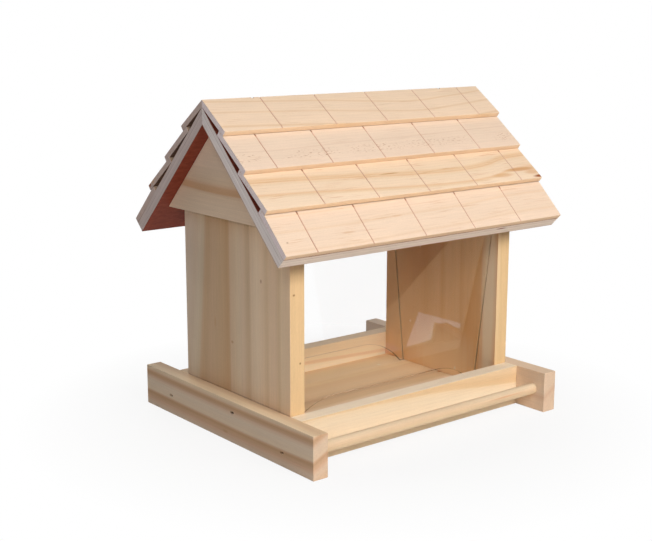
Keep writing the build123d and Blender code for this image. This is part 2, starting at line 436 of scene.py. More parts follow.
def ticked(tree, board, v, shown, ticks):
    """Short dark ticks where the plane tore the grain, in one strip of a board."""
    low, high, shade = ticks
    tick = stretched_noise(tree, board, (4.2, 0.8, 0.8), 0.0)
    strong = add(tree, "MapRange", {"Value": tick, "From Min": 0.65, "From Max": 0.75, "To Max": 0.7})
    gather = stretched_noise(tree, board, (45, 20, 20), 0.0)
    gathered = add(tree, "MapRange", {"Value": gather, "From Min": 0.32, "From Max": 0.46})
    middle = add(tree, "Math", (v, -(low + high) / 2), operation="ADD")
    spread = add(tree, "Math", (middle,), operation="ABSOLUTE")
    inside = add(tree, "MapRange", {
        "Value": spread, "From Min": (high - low) / 2, "From Max": (high - low) / 2 - 3,
    })
    in_strip = add(tree, "Math", (strong, inside), operation="MULTIPLY")
    shows = add(tree, "Math", (in_strip, gathered), operation="MULTIPLY")
    return add(tree, "Mix", {"Factor": shows, 6: shown, 7: shade}, data_type="RGBA").outputs[2]


def pine(name, corner, along, across, bands, tilt=0.0, drift=(), fan=None, wander=0.7, rings=(4.0, 0.02),
         narrow=None, end_grain=("#c9a58d", 0.3), marks=(), wisps=None, ticks=None, sawn=None, under=None):
    """Planed softwood, dry and unvarnished: matt and pale, with soft bands and silky long fibres.

    corner, along and across place the board: millimetres from corner along the grain
    (u), across the face (v) and through the thickness (w).  bands are (place, colour)
    across the growth rings, whose place is v + tilt * w less a drift given at points
    along the grain.  With fan (pivot, reach) the drift grows with the distance short of
    the pivot.  wander is how far the figure strays, and rings are (pitch, strength).
    narrow and end_grain are (colour, share) for the board's narrow faces and its ends,
    under is the same for the face that w points to, and sawn is the colour at the
    bottom of its saw cuts, blended in more with depth as painted shade.  marks are
    (place, radii, colour, strength), some of them painted shade or light, wisps (colour,
    strength) and ticks (low, high, colour).
    """
    material, tree = empty_material(name)
    along, across = Vector(along), Vector(across)
    depth = along.cross(across)
    place = add(tree, "TexCoord").outputs
    in_mm = add(tree, "VectorMath", (place["Object"], (1 / MM,) * 3, tuple(-c for c in corner)),
                operation="MULTIPLY_ADD")
    u, v, w = [
        add(tree, "VectorMath", (in_mm, tuple(axis)), operation="DOT_PRODUCT").outputs["Value"]
        for axis in (along, across, depth)
    ]
    board = add(tree, "CombineXYZ", (u, v, w))
    slow = stretched_noise(tree, board, (110, 30, 30), 1.0, 0.4)
    centred = add(tree, "Math", (slow, -0.5), operation="ADD")
    wandering = add(tree, "Math", (centred, 2 * wander, v), operation="MULTIPLY_ADD")
    figure = add(tree, "Math", (w, tilt, wandering), operation="MULTIPLY_ADD")
    if drift:
        moved = drift_curve(tree, u, drift)
        if fan:
            short_of = add(tree, "MapRange", {
                "Value": v, "From Min": fan[0], "From Max": fan[0] - fan[1],
            }, clamp=False)
            spread = add(tree, "Math", (short_of, 0.0), operation="MAXIMUM")
            moved = add(tree, "Math", (moved, spread), operation="MULTIPLY")
        figure = add(tree, "Math", (figure, moved), operation="SUBTRACT")
    grain = {"Board": board, "Figure": figure, "Ring Pitch": rings[0], "Ring Strength": rings[1]}
    fibres = add(tree, "Group", grain, node_tree=PINE_FIBRES)
    feathered = add(tree, "Math", (figure, fibres.outputs["Feather"]), operation="ADD")
    first, last = bands[0][0], bands[-1][0]
    level = add(tree, "MapRange", {"Value": feathered, "From Min": first, "From Max": last})
    colour = add(tree, "ValToRGB", (level,))
    set_ramp(colour, [((where - first) / (last - first), shade) for where, shade in bands])
    shown = colour.outputs[0]
    for axis, finish in ((along, end_grain), (across, narrow), (depth, under)):
        if not finish:
            continue
        shade, share = finish
        facing = add(tree, "VectorMath", (place["Normal"], tuple(axis)),
                     operation="DOT_PRODUCT").outputs["Value"]
        if axis is not depth:
            facing = add(tree, "Math", (facing,), operation="ABSOLUTE")
        amount = add(tree, "MapRange", {
            "Value": facing, "From Min": 0.7, "From Max": 0.95, "To Max": share,
        })
        shown = add(tree, "Mix", {"Factor": amount, 6: shown, 7: shade}, data_type="RGBA").outputs[2]
    # Late wood and resin turn the colour redder as well as darker.
    warmer = add(tree, "Mix", {
        "Factor": fibres.outputs["Warmth"], 6: shown, 7: "#c07a45",
    }, data_type="RGBA")
    shown = add(tree, "VectorMath", {
        0: warmer.outputs[2], "Scale": fibres.outputs["Tone"],
    }, operation="SCALE").outputs[0]
    shown = stains_and_painted_light(tree, board, fibres.outputs["Feather"], shown, marks)
    if wisps:
        shown = wisped(tree, board, shown, wisps)
    if ticks:
        shown = ticked(tree, board, v, shown, ticks)
    # Saw cuts show the sawn wood's own browner colour, blended in more towards the bottom of each cut as
    # painted shade.
    if sawn:
        inside = add(tree, "Attribute", attribute_name="sawn")
        deep = add(tree, "Math", (w,), operation="ABSOLUTE")
        deeper_painted_shade = add(tree, "MapRange", {
            "Value": deep, "From Max": KERF_DEPTH, "To Min": 0.3, "To Max": 1.0,
        })
        sawn_wood_and_depth_shade = add(tree, "Math", (inside.outputs["Fac"], deeper_painted_shade), operation="MULTIPLY")
        shown = add(tree, "Mix", {"Factor": sawn_wood_and_depth_shade, 6: shown, 7: sawn}, data_type="RGBA").outputs[2]
    roughness = add(tree, "MapRange", {
        "Value": fibres.outputs["Tone"], "From Min": 0.9, "From Max": 1.05, "To Min": 0.6, "To Max": 0.72,
    })
    height = add(tree, "Math", (fibres.outputs["Height"], MM), operation="MULTIPLY")
    relief = add(tree, "Bump", {"Height": height, "Distance": 1.0, "Strength": 0.35})
    shader = add(tree, "BsdfPrincipled", {
        "Base Color": shown, "Roughness": roughness, "Normal": relief, "IOR": 1.45,
        "Specular IOR Level": 0.1,
    })
    add(tree, "OutputMaterial", {"Surface": shader})
    return material


def slope_frame(side, down, out):
    """A point of a slope, with the directions down it and out of it."""
    fall = Vector((0, side * math.cos(PITCH), -math.sin(PITCH)))
    outward = Vector((0, side * math.sin(PITCH), math.cos(PITCH)))
    return Vector((0, 0, RIDGE)) + down * fall + out * outward, fall, outward


DOWN, RIGHT, FORWARD = (0, 0, -1), (1, 0, 0), (0, -1, 0)
NAIL_PIT_SHADE = "#5b4233"

PINE = {
    "end_rail_left": pine(
        "pine_end_rail_left", (-END_X, END_Y, RAIL_HEIGHT), FORWARD, DOWN,
        [(-2, "#ebd5b6"), (2.5, "#ead0b0"), (5, "#d7b18d"), (6.6, "#cda581"), (8.4, "#cfa886"),
         (10.4, "#dab898"), (13, "#e5cbb1"), (16, "#e7d2b9"), (25.8, "#ead3b6"), (27.4, "#dbb795"),
         (29.2, "#cba37f"), (32, "#d3ad8a"), (35.4, "#e0ba99"), (38.6, "#e8caae"), (41.5, "#ecd3ba"),
         (52, "#e9c8a4")],
        tilt=0.49, drift=((0, 0), (150, 0.8), (210, 0.6), (300, -1.6)), wander=0.4, narrow=("#f3dcb9", 0.5),
        # The first three marks darken the pits round the nails: painted shade.
        marks=(((167, 12, 0), (3.4, 1.5, 3), NAIL_PIT_SHADE, 0.9), ((50, 23, 0), (3.6, 1.8, 3), "#9a7453", 0.7),
               ((250, 30, 0), (2.4, 1.3, 3), "#7d5a40", 0.8), ((155, 35, 0), (5, 1.6, 4), "#c39a74", 0.6)),
    ),
    "end_rail_right": pine(
        "pine_end_rail_right", (WALL_X, END_Y, RAIL_HEIGHT), FORWARD, DOWN,
        [(-30, "#f2d9be"), (-8, "#f2d9be"), (-5, "#e4c3a5"), (-1, "#efd5ba"), (20, "#f0d8be"),
         (26, "#e4c2a5"), (31, "#efd3b8"), (60, "#f2d9be")],
        tilt=0.62, drift=((0, 0), (300, 2)),
    ),
    "front_rail": pine(
        "pine_front_rail", (-WALL_X, -FRONT_Y, RAIL_HEIGHT), RIGHT, DOWN,
        [(-26, "#f3dab7"), (-13, "#f1d4ae"), (-9, "#eecea4"), (-4, "#ecca9f"), (-0.6, "#eed0a6"),
         (1, "#f5debe"), (8, "#f6e3c6"), (16, "#f4e0c3"), (30, "#efd8b8"), (60, "#f0d8b6")],
        tilt=0.3, drift=((0, 1), (120, 4), (200, 9), (250, 14), (302, 19)), wander=0.5,
        narrow=("#fff0d8", 0.92),
    ),
    "back_rail": pine(
        "pine_back_rail", (-WALL_X, RAIL_Y, RAIL_HEIGHT), RIGHT, DOWN,
        [(-20, "#fce1bc"), (0, "#fbdfb8"), (8, "#f9dbb2"), (12, "#f9dfb8"), (15, "#f9e0b9"),
         (16.6, "#efc99f"), (19, "#f0cba0"), (21, "#f8e4c3"), (44, "#f5e0c2")],
        tilt=-0.4, drift=((0, -3), (168, 0), (284, 5), (302, 5.5)), narrow=("#e7d0b4", 0.5),
    ),
    "floor_board": pine(
        "pine_floor", (-WALL_X, RAIL_Y, FLOOR), RIGHT, FORWARD,
        [(0, "#fddab4"), (14, "#f8dcb4"), (24, "#f6dab2"), (32, "#f6d9b2"), (41, "#fbdcb2"),
         (47, "#fcdeb4"), (49.5, "#f6d4ab"), (52, "#f4d1a7"), (60, "#f4d2a9"), (70, "#f5d5ae"),
         (80, "#f1d0a8"), (86, "#e4c29c"), (90, "#d5b18d"), (95, "#d8b793"), (100, "#e3c19a"),
         (110, "#e3c49d"), (117, "#f1d6b7"), (125, "#f7e4c8"), (184, "#f5e0c4")],
        tilt=0.3, drift=((0, 0), (150, 0.6), (302, -0.4)),
        marks=(((285, 98, 0), (6, 2.4, 6), "#b06b45", 0.7), ((247, 31, 0), (2.6, 1.8, 3), "#fff4dc", 0.9)),
    ),
    "end_wall_left": pine(
        "pine_end_wall_left", (-WALL_X, RAIL_Y, SHOULDER), DOWN, FORWARD,
        [(3, "#e8d2ba"), (15, "#e5cdb2"), (24, "#e8d3b7"), (31, "#e3ccad"), (33.5, "#debf9c"),
         (37, "#dab893"), (42, "#d8b691"), (50, "#debd9a"), (60, "#dcbb96"), (70, "#dcb991"),
         (78, "#d8b189"), (81.4, "#dbb68f"), (83.6, "#e6c7a5"), (98, "#ecd3b3"), (107, "#ebcfb1"),
         (112, "#e3c5a1"), (116.4, "#e0c19d"), (120, "#eed2b2"), (130, "#f7ddbd"), (140, "#f6d8b6"),
         (146.5, "#eccca5"), (151, "#f5d6b4"), (160, "#f4d4b2"), (166, "#eccca4"), (170.6, "#f7dab7"),
         (190, "#f9d6b0")],
        tilt=0.5, drift=((0, 7.6), (10, 7), (90, 0), (170, -7), (213, -9)), fan=(82, 49), wander=0.5,
        rings=(5.0, 0.012),
        narrow=("#e5c394", 0.9),
        marks=(((59, 137, 0), (2.6, 1.5, 3), "#c09170", 0.75), ((116, 55, 0), (8, 1.8, 3), "#cf9f78", 0.45),
               ((131, 86, 0), (1.8, 2.6, 3), "#c79a75", 0.7),
               # Painted shade: a dark line along the wall's foot at the rail top, and a painted shadow just
               # under the gable board.
               ((185.4, 92, 0), (1.8, 160, 5), "#7d5d43", 0.35),
               ((4.6, 92, 0), (3.4, 160, 5), "#6e5642", 0.3),
               ((65, 184, -4.7), (1.2, 1.5, 1.5), "#9a6c46", 0.85),
               ((133.5, 184, -12), (1.3, 1.5, 1.3), "#8a5f3f", 0.85)),
    ),
    "end_wall_right": pine(
        "pine_end_wall_right", (WALL_X - STOCK, RAIL_Y, SHOULDER), DOWN, FORWARD,
        [(-10, "#f0d6b2"), (22, "#f2d8b0"), (40, "#efd2a9"), (60, "#edcea3"), (70, "#e6c497"),
         (86, "#f0d3a8"), (93, "#efd0a6"), (97, "#e2bc8e"), (104, "#eccfa4"), (124, "#e8c99c"),
         (128, "#d9b083"), (134, "#e3c194"), (142, "#e8c598"), (152, "#efd0a2"), (160, "#f2d8b0"),
         (190, "#f5ddb8")],
        tilt=-0.6, drift=((0, -2), (100, 0), (213, 1.5)), rings=(5.0, 0.02), narrow=("#e4c292", 0.9),
        # The inner face is painted a deeper orange as painted shade, for the dim, warm bounced light inside
        # the house.
        under=("#f1a659", 0.55),
        # Painted light: a broad pale patch low on the inner face and a pale strip along its front, where
        # more light falls.
        marks=(((192, 100, 0), (42, 62, 9), "#ffdcae", 0.8), ((107, 172, 0), (200, 13, 7), "#ffe8c6", 1.0),
               ((69.5, 59.6, 0), (1.2, 1.2, 2), "#fff0d8", 0.9),
               ((162, 44.5, 0), (1.4, 1.0, 2), "#fff0d8", 0.9),
               ((203, 121, 0), (2.0, 1.6, 2), "#fff0d8", 0.8)),
    ),
}

GABLE_BANDS = [(-40, "#f3d7b9"), (21, "#f0d5b9"), (24, "#ebd0b3"), (29, "#ecd1b3"), (36, "#e8cbab"),
               (38.5, "#e3c09c"), (40.5, "#dcb089"), (45.5, "#daad85"), (46.8, "#e6c5a2"),
               (49, "#eccfb0"), (60, "#edd2b4"), (90, "#eed3b6")]
for end_name, end in ENDS.items():
    PINE[f"gable_board_{end_name}"] = pine(
        f"pine_gable_{end_name}", (end * (GABLE_X + STOCK), RAIL_Y, 300), FORWARD, DOWN, GABLE_BANDS,
        tilt=-0.5 * end, drift=((0, -2.5), (90, 1.0), (184, -2.0)), rings=(5.0, 0.015),
    )

# One board's colours for each course: figure lines, drift of the rings, any ticks, and marks, some of them
# painted shade.
COURSE_WOOD = {
    1: dict(
        bands=[(-40, "#f0d7be"), (0.6, "#f0d7bd"), (2.6, "#e9caa8"), (4.4, "#f0d7be"), (16.5, "#f0d7be"),
               (18.8, "#e8caaa"), (21, "#f0d7be"), (37, "#f0d6bc"), (39.4, "#e6c6a3"), (41.6, "#f0d7be"),
               (80, "#f0d7be")],
        drift=((0, 0), (65, 3), (135, 6.5), (205, 12), (265, 15), (310, 11), (372, 4)),
        wisps=("#c59a70", 0.35),
        # Painted shade darkens the wood round the two cord holes at the ridge.
        marks=(((59, -1.4, 0), (4.5, 0.9, 3), "#a4866a", 0.8),
               ((313, -1.2, 0), (2.6, 1.4, 3), "#5c4434", 0.95)),
    ),
    2: dict(
        bands=[(-40, "#f0dac5"), (10, "#f0dac5"), (21, "#efd8c3"), (22.4, "#e9d0ba"), (23.6, "#eed7c2"),
               (46, "#eed6c1"), (80, "#efd8c3")],
        drift=((0, 0), (60, 1), (120, -1), (240, -4), (372, -7)), wisps=("#c8a07c", 0.3),
        ticks=(24, 38, "#a9713f"),
    ),
    3: dict(
        bands=[(-40, "#f2d8ba"), (4, "#f2d9bd"), (6.6, "#eed0ae"), (8, "#eac69f"), (9.4, "#edcfac"),
               (10.8, "#e8c19a"), (12.2, "#efd3b3"), (16, "#f2d9be"), (25.6, "#f2d8bc"),
               (27.4, "#eac5a0"), (29, "#ebcdaa"), (32, "#f2dac0"), (80, "#f2dabf")],
        drift=((0, 0), (60, 2.5), (120, 6), (160, 8.5), (200, 10.5), (250, 12), (285, 11), (310, 8),
               (335, 2.5), (372, 0)), wander=0.4,
        wisps=("#cc9262", 0.55),
        marks=(((372, 43.5, 0), (12, 2.5, 4), "#9c5a34", 1.0),
               ((350, 31, 0), (26, 3.2, 4), "#cd9560", 0.75), ((318, 37, 0), (18, 4, 4), "#d9a877", 0.6),
               ((366, 36, 0), (14, 5, 5), "#d8a878", 0.6), ((168, 17, 0), (14, 0.9, 3), "#c08d5c", 0.7)),
    ),
    4: dict(
        bands=[(-40, "#f1d9c3"), (0.6, "#f1d9c3"), (2.2, "#eed2b7"), (4, "#f1d9c3"), (18.4, "#f1d8c1"),
               (20.6, "#ecd0b4"), (22.6, "#f1d9c3"), (40, "#f0d7c0"), (42.6, "#ecd0b5"),
               (44.8, "#f1d8c2"), (80, "#f1d9c3")],
        drift=((0, 0), (100, 0), (150, -2), (240, -4), (310, -8), (372, -8)), wisps=("#cf9f6e", 0.5),
        marks=(((82, 30, 0), (9, 1.0, 3), "#d9b08a", 0.6), ((150, 19, 0), (8, 1.2, 3), "#d9b08a", 0.5),
               ((9, 32, 0), (1.4, 0.9, 3), "#a98467", 0.7)),
    ),
}


# ---------------------------------------------------------------- tray and walls


def wood_block(name, low, high, cutters=()):
    """A rail or board with sanded arrises and any holes that are cut in it."""
    return carve(round_edges(block(low, high), ARRIS), cutters, name)


WALL_NAIL_HEIGHTS = {height for _, height in WALL_NAIL.values()}


def nail_places():
    """Where the nails of the tray go in: outer face point and direction inwards."""
    places = []
    for end in ENDS.values():
        middle = RAIL_Y + STOCK / 2
        spots = [(side * middle + CORNER_NAIL_DRIFT[side], CORNER_NAIL_Z[side]) for side in SIDES.values()]
        for y, z in spots + [WALL_NAIL[end]]:
            places.append((Vector((end * END_X, y, z)), Vector((-end, 0, 0))))
    return places


def nail_crater(spot, inward, size, seed):
    """The torn pit that a nail punch leaves: longer along the grain, uneven, tapering in."""
    chance = random.Random(seed)
    across = inward.cross(Vector((0, 0, 1))).normalized()
    up = Vector((0, 0, 1))
    loops = []
    for depth, scale in ((-0.5, 1.3), (0.0, 1.16), (0.35, 1.04), (NAIL["sink"] + NAIL_PLAY, 0.98)):
        ring = []
        for step in range(CRATER_SIDES):
            angle = math.tau * step / CRATER_SIDES
            ragged = 1 + 0.16 * chance.random() * max(0, 0.6 - depth)
            sideways = across * math.cos(angle) * size[0] * scale * ragged
            reach = sideways + up * math.sin(angle) * size[1] * scale
            ring.append(tuple(spot + inward * depth + reach))
        loops.append(ring)
    return loft(loops)


for end_name, end in ENDS.items():
    low_x, high_x = sorted((end * WALL_X, end * END_X))
    cutters = [rod((end * (WALL_X - 1), side * PERCH_Y, PERCH_Z), (end, 0, 0), PERCH_RADIUS + PERCH_PLAY,
                   PERCH_SOCKET + 1, 48) for side in SIDES.values()]
    for index, (spot, inward) in enumerate(nail_places()):
        if spot.x * end > 0:
            size = CRATER_WALL if spot.z in WALL_NAIL_HEIGHTS else CRATER_CORNER
            cutters.append(nail_crater(spot, inward, size, 11 + index))
            cutters.append(rod(spot, inward, NAIL["shank"] + NAIL_PLAY, NAIL["length"], 16))
    mesh = wood_block(f"rail_{end_name}", (low_x, -END_Y, 0), (high_x, END_Y, RAIL_HEIGHT), cutters)
    as_piece(f"end_rail_board_{end_name}", mesh, "house", PINE[f"end_rail_{end_name}"],
             [f"end_rail_{end_name}"])

for side_name, side in SIDES.items():
    low_y, high_y = sorted((side * RAIL_Y, side * FRONT_Y))
    mesh = wood_block(f"rail_{side_name}", (-WALL_X, low_y, 0), (WALL_X, high_y, RAIL_HEIGHT))
    as_piece(f"long_rail_board_{side_name}", mesh, "house", PINE[f"{side_name}_rail"],
             [f"{side_name}_rail"])

mesh = wood_block("floor", (-WALL_X, -RAIL_Y, 0), (WALL_X, RAIL_Y, FLOOR))
as_piece("tray_floor", mesh, "house", PINE["floor_board"], ["floor_board"])


def gable_outline(base_z, low_z, flat):
    """Front to back outline under the roof, with a blunted point."""
    top = RIDGE - flat / 2
    points = [(RAIL_Y, base_z), (flat / 2, top), (-flat / 2, top), (-RAIL_Y, base_z)]
    return ([(-RAIL_Y, low_z), (RAIL_Y, low_z)] if low_z < base_z else []) + points


def groove_slab(side):
    """The slanting slab of wood that the saw takes out for a pane, both walls at once."""
    foot = Vector((0, side * PANE_Y, FLOOR))
    up = Vector((0, side * math.sin(LEAN), math.cos(LEAN)))
    outward = Vector((0, side * math.cos(LEAN), -math.sin(LEAN)))
    half = WALL_X - STOCK + GROOVE_DEPTH
    wide = GROOVE_WIDTH / 2
    below, above = 40, 400
    loops = []
    for x in (-half, half):
        loops.append([
            tuple(Vector((x, 0, 0)) + foot + up * rise + outward * shift)
            for rise, shift in ((-below, -wide), (above, -wide), (above, wide), (-below, wide))
        ])
    return loft(loops)


for end_name, end in ENDS.items():
    low_x, high_x = sorted((end * (WALL_X - STOCK), end * WALL_X))
    wall = round_edges(prism(gable_outline(SHOULDER, FLOOR, 4.0), low_x, high_x), ARRIS)
    mesh = carve(wall, [groove_slab(side) for side in SIDES.values()], f"wall_{end_name}")
    as_piece(f"end_wall_board_{end_name}", mesh, "house", PINE[f"end_wall_{end_name}"],
             [f"end_wall_{end_name}"])
    low_x, high_x = sorted((end * GABLE_X, end * (GABLE_X + STOCK)))
    gable = round_edges(prism(gable_outline(SHOULDER, SHOULDER, 2.0), low_x, high_x), 0.3, 2)
    as_piece(f"gable_{end_name}", to_mesh(gable, "gable"), "roof",
             PINE[f"gable_board_{end_name}"], [f"gable_board_{end_name}"])


# ---------------------------------------------------------------- perches


def turned_dowel(side):
    """A dowel with eased ends, a hair out of true along its length."""
    chance = random.Random(31 + side)
    half = TRAY_LENGTH / 2 + PERCH_SOCKET - 0.5
    start, run = -half + DOWEL_EASE, 2 * half - 2 * DOWEL_EASE
    stations = [(-half, DOWEL_EASE), (start, 0.0)]
    stations += [(start + run * k / DOWEL_STEPS, 0.0) for k in range(1, DOWEL_STEPS)]
    stations += [(half - DOWEL_EASE, 0.0), (half, DOWEL_EASE)]
    loops = []
    for x, less in stations:
        radius = PERCH_RADIUS - less - DOWEL_WEAR * chance.random()
        turns = [math.tau * k / DOWEL_SIDES for k in range(DOWEL_SIDES)]
        loops.append([
            (x, side * PERCH_Y + radius * math.cos(turn), PERCH_Z + radius * math.sin(turn))
            for turn in turns
        ])
    shape = loft(loops)
    for polygon in shape.faces:
        polygon.smooth = len(polygon.verts) == 4
    return shape


for side_name, side in SIDES.items():
    dowel_wood = pine(
        f"pine_dowel_{side_name}", (-WALL_X, side * PERCH_Y, PERCH_Z + PERCH_RADIUS), RIGHT, DOWN,
        [(-12, "#ead2b2"), (0, "#ead4b6"), (2.5, "#e7caa9"), (5, "#e6c8a5"), (7, "#edd3af"),
         (9, "#f5ddbb"), (12, "#f1d7b2"), (24, "#ecd0ab")],
        tilt=0.15, drift=((0, 0.6), (150, -0.4), (302, 0.8)), wander=0.8, rings=(2.6, 0.02),
        marks=(((255, 4.4, 3 * side), (34, 1.1, 5), "#d9a077", 0.75),),
    )
    as_piece(f"perch_dowel_{side_name}", to_mesh(turned_dowel(side), "dowel"), "house",
             dowel_wood, [f"perch_{side_name}"])


# ---------------------------------------------------------------- shingles

# The sawn ends are very pale on the front slope and greyer on the back one: painted light and painted
# shade, as the front ends get more light than the back ones.
END_GRAIN = {-1: ("#fff0f0", 0.85), 1: ("#cbb5ad", 0.85)}


def course_line(course):
    """Upper end of a course's underside (down, out) and its tilt."""
    width = shingle_width()
    if course == COURSES:
        return SLOPE - width, PLY, 0.0
    prop_down, prop_out = upper_corner(course + 1)
    rise = prop_out - PLY
    shows = exposure()
    if course > 1:
        return prop_down - math.sqrt(shows**2 - rise**2), PLY, math.asin(rise / shows)
    ridge_down = -PLY * math.tan(PITCH)
    return ridge_down, PLY, math.atan2(rise, prop_down - ridge_down)


def exposure():
    """How much of each board shows."""
    return (SLOPE + (PLY + SHINGLE / 2) * math.tan(PITCH)) / COURSES


def shingle_width():
    return exposure() + OVERLAP


def upper_corner(course):
    down, out, tilt = course_line(course)
    above = SHINGLE + GLUE
    return down - above * math.sin(tilt), out + above * math.cos(tilt)


def course_width(course):
    if course > 1:
        return shingle_width()
    down, out, _ = course_line(1)
    prop_down, prop_out = upper_corner(2)
    return math.hypot(prop_down - down, prop_out - out) + OVERLAP


def shingle_tree():
    """A sawn shingle board: a long rounded strip with saw kerfs across its face.

    It is drawn with its length on X, its width on Y from 0, the upper edge, to Width,
    and its thickness on Z from 0.  Sizes are in metres.
    """
    tree = bpy.data.node_groups.new("sawn_shingle_board", "GeometryNodeTree")
    open_sockets(tree, "INPUT", "Geometry", "Geometry")
    open_sockets(tree, "INPUT", "Float", "Length", "Width", "Thickness", "Arris")
    open_sockets(tree, "INPUT", "Float", "Kerf Width", "Kerf Depth", "Kerf Pitch", "First Kerf",
                 "Upper End")
    open_sockets(tree, "INPUT", "Int", "Kerf Count", "Seed")
    open_sockets(tree, "INPUT", "Material", "Wood")
    open_sockets(tree, "OUTPUT", "Geometry", "Geometry")
    source = add(tree, "NodeGroupInput").outputs
    whole = add(tree, "Math", (source["Width"], source["Upper End"]), operation="ADD")
    section = add(tree, "GeometryNodeCurvePrimitiveQuadrilateral", {
        "Width": whole, "Height": source["Thickness"],
    })
    eased = add(tree, "GeometryNodeFilletCurve", {
        "Curve": section, "Radius": source["Arris"], "Count": 3, "Limit Radius": True,
    }, mode="POLY")
    half = add(tree, "Math", (source["Length"], 0.5), operation="MULTIPLY")
    minus_half = add(tree, "Math", (half, -1.0), operation="MULTIPLY")
    start = add(tree, "CombineXYZ", (minus_half,))
    stop = add(tree, "CombineXYZ", (half,))
    spine = add(tree, "GeometryNodeCurvePrimitiveLine", {"Start": start, "End": stop})
    upright = add(tree, "GeometryNodeSetCurveNormal", {"Curve": spine}, mode="Z_UP")
    strip = add(tree, "GeometryNodeCurveToMesh", {
        "Curve": upright, "Profile Curve": eased, "Fill Caps": True,
    })
    strip_middle = add(tree, "Math", (source["Width"], source["Upper End"]), operation="SUBTRACT")
    middle_y = add(tree, "Math", (strip_middle, 0.5), operation="MULTIPLY")
    middle_z = add(tree, "Math", (source["Thickness"], 0.5), operation="MULTIPLY")
    shift = add(tree, "CombineXYZ", {1: middle_y, 2: middle_z})
    laid = add(tree, "GeometryNodeTransform", {"Geometry": strip, "Translation": shift})
    # The row of saw cuts, each a hair off square.
    first_x = add(tree, "Math", (source["First Kerf"], half), operation="SUBTRACT")
    first_spot = add(tree, "CombineXYZ", (first_x, middle_y, source["Thickness"]))
    pitch_step = add(tree, "CombineXYZ", (source["Kerf Pitch"],))
    row = add(tree, "GeometryNodeMeshLine", {
        "Count": source["Kerf Count"], "Start Location": first_spot, "Offset": pitch_step,
    })
    long_cut = add(tree, "Math", (source["Width"], 3.0), operation="MULTIPLY")
    deep_cut = add(tree, "Math", (source["Kerf Depth"], 2.0), operation="MULTIPLY")
    # A square bar stood on its edge, a unit across its corners, is flattened to the V.
    bar = add(tree, "GeometryNodeMeshCube", {"Size": (math.sqrt(0.5), 1.0, math.sqrt(0.5))})
    on_edge = add(tree, "GeometryNodeTransform", {
        "Geometry": bar, "Rotation": (0.0, math.radians(45), 0.0),
    })
    blade_size = add(tree, "CombineXYZ", (source["Kerf Width"], long_cut, deep_cut))
    blade = add(tree, "GeometryNodeTransform", {"Geometry": on_edge, "Scale": blade_size})
    off_square = {0: (0.0, 0.0, -KERF_SKEW), 1: (0.0, 0.0, KERF_SKEW), "Seed": source["Seed"]}
    chance = add(tree, "FunctionNodeRandomValue", off_square, data_type="FLOAT_VECTOR")
    cuts = add(tree, "GeometryNodeInstanceOnPoints", {"Points": row, "Instance": blade, "Rotation": chance})
    solid_cuts = add(tree, "GeometryNodeRealizeInstances", {"Geometry": cuts})
    kerfed = add(tree, "GeometryNodeMeshBoolean", {
        "Mesh 1": laid, "Mesh 2": solid_cuts,
    }, operation="DIFFERENCE", solver="EXACT")
    # The slanting sides of a kerf are marked, so that the wood there can be darker.
    aim = add(tree, "SeparateXYZ", (add(tree, "GeometryNodeInputNormal"),))
    sideways = add(tree, "Math", (aim.outputs[0],), operation="ABSOLUTE")
    slanting = add(tree, "Math", (sideways, 0.3), operation="GREATER_THAN")
    not_end = add(tree, "Math", (sideways, 0.97), operation="LESS_THAN")
    marked = add(tree, "Math", (slanting, not_end), operation="MULTIPLY")
    stored = add(tree, "GeometryNodeStoreNamedAttribute", {
        "Geometry": kerfed, "Name": "sawn", "Value": marked,
    }, data_type="FLOAT", domain="FACE")
    plain = add(tree, "GeometryNodeRealizeInstances", {"Geometry": stored})
    covered = add(tree, "GeometryNodeSetMaterial", {"Geometry": plain, "Material": source["Wood"]})
    add(tree, "NodeGroupOutput", {"Geometry": covered})
    return tree


SHINGLE_TREE = shingle_tree()


def kerf_places(course):
    """Where a course is kerfed, from the left end of the roof."""
    first = FIRST_KERF[course % 2]
    if course % 2:
        first = 2 * ROOF_X - first - (KERF_COUNT - 1) * KERF_PITCH
    return [first + KERF_PITCH * kerf for kerf in range(KERF_COUNT)]


def course_frame(side, course):
    """Upper end of a course's underside, with the directions down the board and out of it."""
    down, out, tilt = course_line(course)
    spot, fall, outward = slope_frame(side, down, out)
    lie = fall * math.cos(tilt) + outward * math.sin(tilt)
    top = outward * math.cos(tilt) - fall * math.sin(tilt)
    return spot, lie, top


def course_matrix(side, course):
    """Puts a shingle board drawn at the origin on its course of a slope."""
    spot, lie, top = course_frame(side, course)
    turned = Matrix((Vector(RIGHT), lie, top)).transposed().to_4x4()
    return Matrix.Translation(spot * MM) @ turned


def shingle_board(side, course, wood):
    width = course_width(course)
    mesh = grown(SHINGLE_TREE, f"shingle_{course}", {
        "Length": 2 * ROOF_X * MM, "Width": width * MM, "Thickness": SHINGLE * MM,
        "Arris": SHINGLE_ARRIS * MM,
        "Kerf Width": KERF_WIDTH * MM, "Kerf Depth": KERF_DEPTH * MM, "Kerf Pitch": KERF_PITCH * MM,
        "First Kerf": kerf_places(course)[0] * MM,
        "Upper End": MITRE_SPARE * MM if course == 1 else 0.0, "Kerf Count": KERF_COUNT,
        "Seed": 7 * course + side, "Wood": wood,
    })
    mesh.transform(course_matrix(side, course))
    if side > 0:
        mesh.flip_normals()
    shape = bmesh.new()
    shape.from_mesh(mesh)
    if course == 1:
        everything = list(shape.verts) + list(shape.edges) + list(shape.faces)
        cut = bmesh.ops.bisect_plane(shape, geom=everything, plane_co=(0, side * 0.00001, 0),
            plane_no=(0, -side, 0), clear_outer=True)
        rim = [edge for edge in cut["geom_cut"] if isinstance(edge, bmesh.types.BMEdge)]
        bmesh.ops.holes_fill(shape, edges=rim)
    bmesh.ops.recalc_face_normals(shape, faces=shape.faces)
    shape.to_mesh(mesh)
    shape.free()
    return mesh


